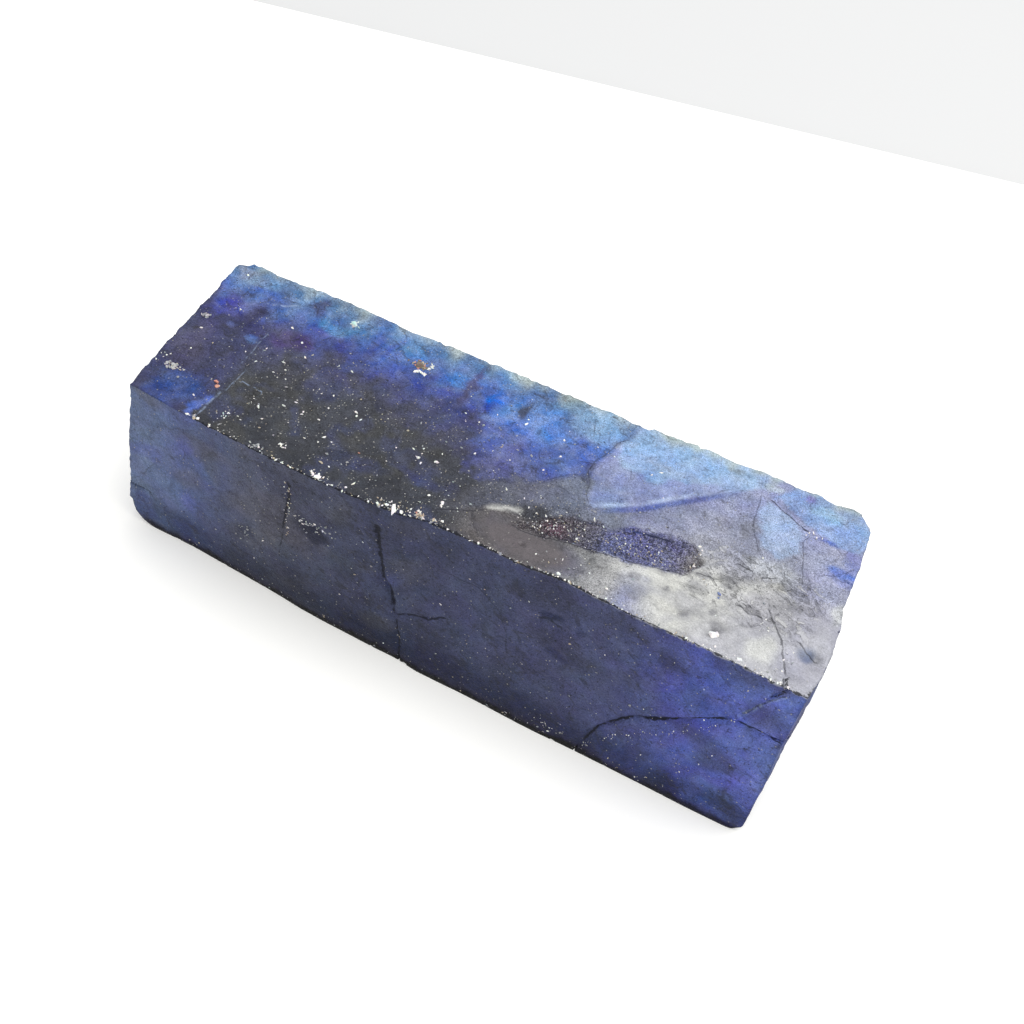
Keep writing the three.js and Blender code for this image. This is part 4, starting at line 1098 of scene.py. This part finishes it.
# Along the brow: a thin row on the right, then grains all the way, thickest on the left.
for _ in range(110):
    across = dice.uniform(3, 34)
    back = brow_at(across) + 0.2 * dice.random()
    drop_on_top(across, back, grain_size(0.12, 0.25, 3), dice.choice(["white", "white", "grey"]))
for _ in range(230):
    across = -28 + 27 * dice.random() ** 0.8 if dice.random() < 0.6 else dice.uniform(-2, 33)
    size = grain_size(0.12, 0.3, 3)
    back = brow_at(across) + 0.7 * dice.random() ** 2
    drop_on_top(across, back, size, dice.choice(["white", "white", "grey", "tan"]))

# Dust on the top.
for count, middle, reach in DUST:
    for _ in range(count):
        across = middle[0] + reach[0] * dice.uniform(-1, 1)
        back = middle[1] + reach[1] * dice.uniform(-1, 1)
        size = grain_size(0.1, 0.28, 4)
        drop_on_top(across, back, size, dice.choice(["white", "white", "grey", "grey", "tan"]))

# On the front: dust all over, then the vein, the short crack's edge and the chipped foot.
for _ in range(130):
    size = grain_size(0.1, 0.26, 4)
    across, up = dice.uniform(-33, 34), dice.uniform(0.5, 19)
    press_on_front(across, up, size, dice.choice(["white", "grey", "grey", "pale"]))
for _ in range(44):
    across, up = dice.gauss(-13.4, 1.1), dice.gauss(13, 0.5)
    press_on_front(across, up, dice.uniform(0.15, 0.38), dice.choice(["white", "grey"]))
for _ in range(32):
    across, up = dice.gauss(-16.3, 0.25), dice.uniform(9.8, 17.5)
    press_on_front(across, up, dice.uniform(0.12, 0.3), dice.choice(["tan", "white"]))
for _ in range(20):
    across, up = dice.gauss(13.2, 1.6), dice.gauss(1.2, 0.6)
    press_on_front(across, up, dice.uniform(0.1, 0.26), dice.choice(["white", "pale"]))

# Beads along the curved crack, a grey patch, grit at the foot and the last loose grains.
for _ in range(46):
    share = dice.random()
    up = 0.8 + 9.6 * share ** 0.6 + 4 * share ** 3 + dice.gauss(0, 0.2)
    press_on_front(18 + 12.5 * share, up, dice.uniform(0.1, 0.24), dice.choice(["pale", "white"]))
for _ in range(14):
    press_on_front(dice.gauss(-21.1, 0.4), dice.gauss(6.7, 0.8), dice.uniform(0.2, 0.5), "grey")
for _ in range(70):
    size = grain_size(0.1, 0.25, 3)
    across, up = dice.uniform(-28, 30), 0.3 + 1.6 * dice.random() ** 2
    press_on_front(across, up, size, dice.choice(["grey", "pale", "tan", "brown"]))
for _ in range(60):
    size = grain_size(0.1, 0.3, 3)
    across, up = dice.uniform(-20, 26), dice.uniform(1, 18.5)
    press_on_front(across, up, size, dice.choice(["white", "pale", "tan"]))

for vert in crumb_bm.verts:
    for axis in range(3):
        lowest, highest = cad_low[axis] + CRUMB_MARGIN, cad_high[axis] - CRUMB_MARGIN
        vert.co[axis] = min(max(vert.co[axis], lowest), highest)


def crumb_material():
    n = Nodes("crumb_grains")
    speckle = n.grey(n.total(n.product(n.noise(0.15, 2), 0.7), 0.65))
    colour = n.mix(1.0, n.attribute("tint", "Color"), speckle, "MULTIPLY")
    n.put(n.shader.inputs["Base Color"], colour)
    n.shader.inputs["Roughness"].default_value = 0.55
    return n.material


crumb_mesh = bpy.data.meshes.new("crumbs")
bmesh.ops.recalc_face_normals(crumb_bm, faces=crumb_bm.faces)
crumb_bm.to_mesh(crumb_mesh)
crumb_bm.free()
crumb_mesh.materials.append(crumb_material())
crumbs = bpy.data.objects.new("crumbs", crumb_mesh)
scene.collection.objects.link(crumbs)
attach(crumbs, "root")


# ------------------------------------------------------------------ table and light
# A white sheet of card under the stone, its far edge on a pale grey table. Soft daylight comes
# from all round, with one wide lamp high on the right.

CARD_ACROSS, TABLE_ACROSS = 600 * MM, 4000 * MM
CARD_EDGE = [Vector((-116.7, 73.8, 0)) * MM, Vector((34.4, 115.1, 0)) * MM]  # on its far edge
CARD_DROP, TABLE_DROP = 0.02 * MM, 1.2 * MM
CARD_WHITE, TABLE_GREY = (0.9, 0.891, 0.855), (0.62, 0.62, 0.617)
CARD_GLOW = 0.18  # the light that comes up through the card
SKY = (0.985, 0.992, 1, 1)
LAMP_PLACE = Vector((0.12, 0.1, 0.45))
LAMP_ACROSS, LAMP_WATTS = 0.45, 1.3


def flat_square(name, across, middle, turn, shade, glow):
    """A plain square lying flat, matt, and lit a little through from below."""
    mesh = bpy.data.meshes.new(name)
    bm = bmesh.new()
    bmesh.ops.create_grid(bm, x_segments=1, y_segments=1, size=across / 2)
    bm.to_mesh(mesh)
    bm.free()
    square = bpy.data.objects.new(name, mesh)
    square.location = middle
    square.rotation_euler.z = turn
    scene.collection.objects.link(square)
    material = bpy.data.materials.new(name)
    material.use_nodes = True
    shader = material.node_tree.nodes["Principled BSDF"]
    shader.inputs["Base Color"].default_value = (*shade, 1)
    shader.inputs["Roughness"].default_value = 0.9
    shader.inputs["Specular IOR Level"].default_value = 0.1
    shader.inputs["Emission Color"].default_value = (1, 1, 1, 1)
    shader.inputs["Emission Strength"].default_value = glow
    mesh.materials.append(material)


edge_run = CARD_EDGE[1] - CARD_EDGE[0]
edge_turn = math.atan2(edge_run.y, edge_run.x)
inward = Vector((math.sin(edge_turn), -math.cos(edge_turn), 0))
card_middle = (CARD_EDGE[0] + CARD_EDGE[1]) / 2 + inward * CARD_ACROSS / 2
card_middle.z = -CARD_DROP
flat_square("white_card", CARD_ACROSS, card_middle, edge_turn, CARD_WHITE, CARD_GLOW)
flat_square("grey_table", TABLE_ACROSS, Vector((0, 0, -TABLE_DROP)), 0, TABLE_GREY, 0)

world = bpy.data.worlds.new("daylight")
world.use_nodes = True
world.node_tree.nodes["Background"].inputs["Color"].default_value = SKY
world.node_tree.nodes["Background"].inputs["Strength"].default_value = 1.0
scene.world = world

lamp_data = bpy.data.lights.new("lamp", "AREA")
lamp_data.shape = "DISK"
lamp_data.size = LAMP_ACROSS
lamp_data.energy = LAMP_WATTS
lamp = bpy.data.objects.new("lamp", lamp_data)
lamp.location = LAMP_PLACE
lamp.rotation_euler = (-LAMP_PLACE).to_track_quat("-Z", "Y").to_euler()
scene.collection.objects.link(lamp)
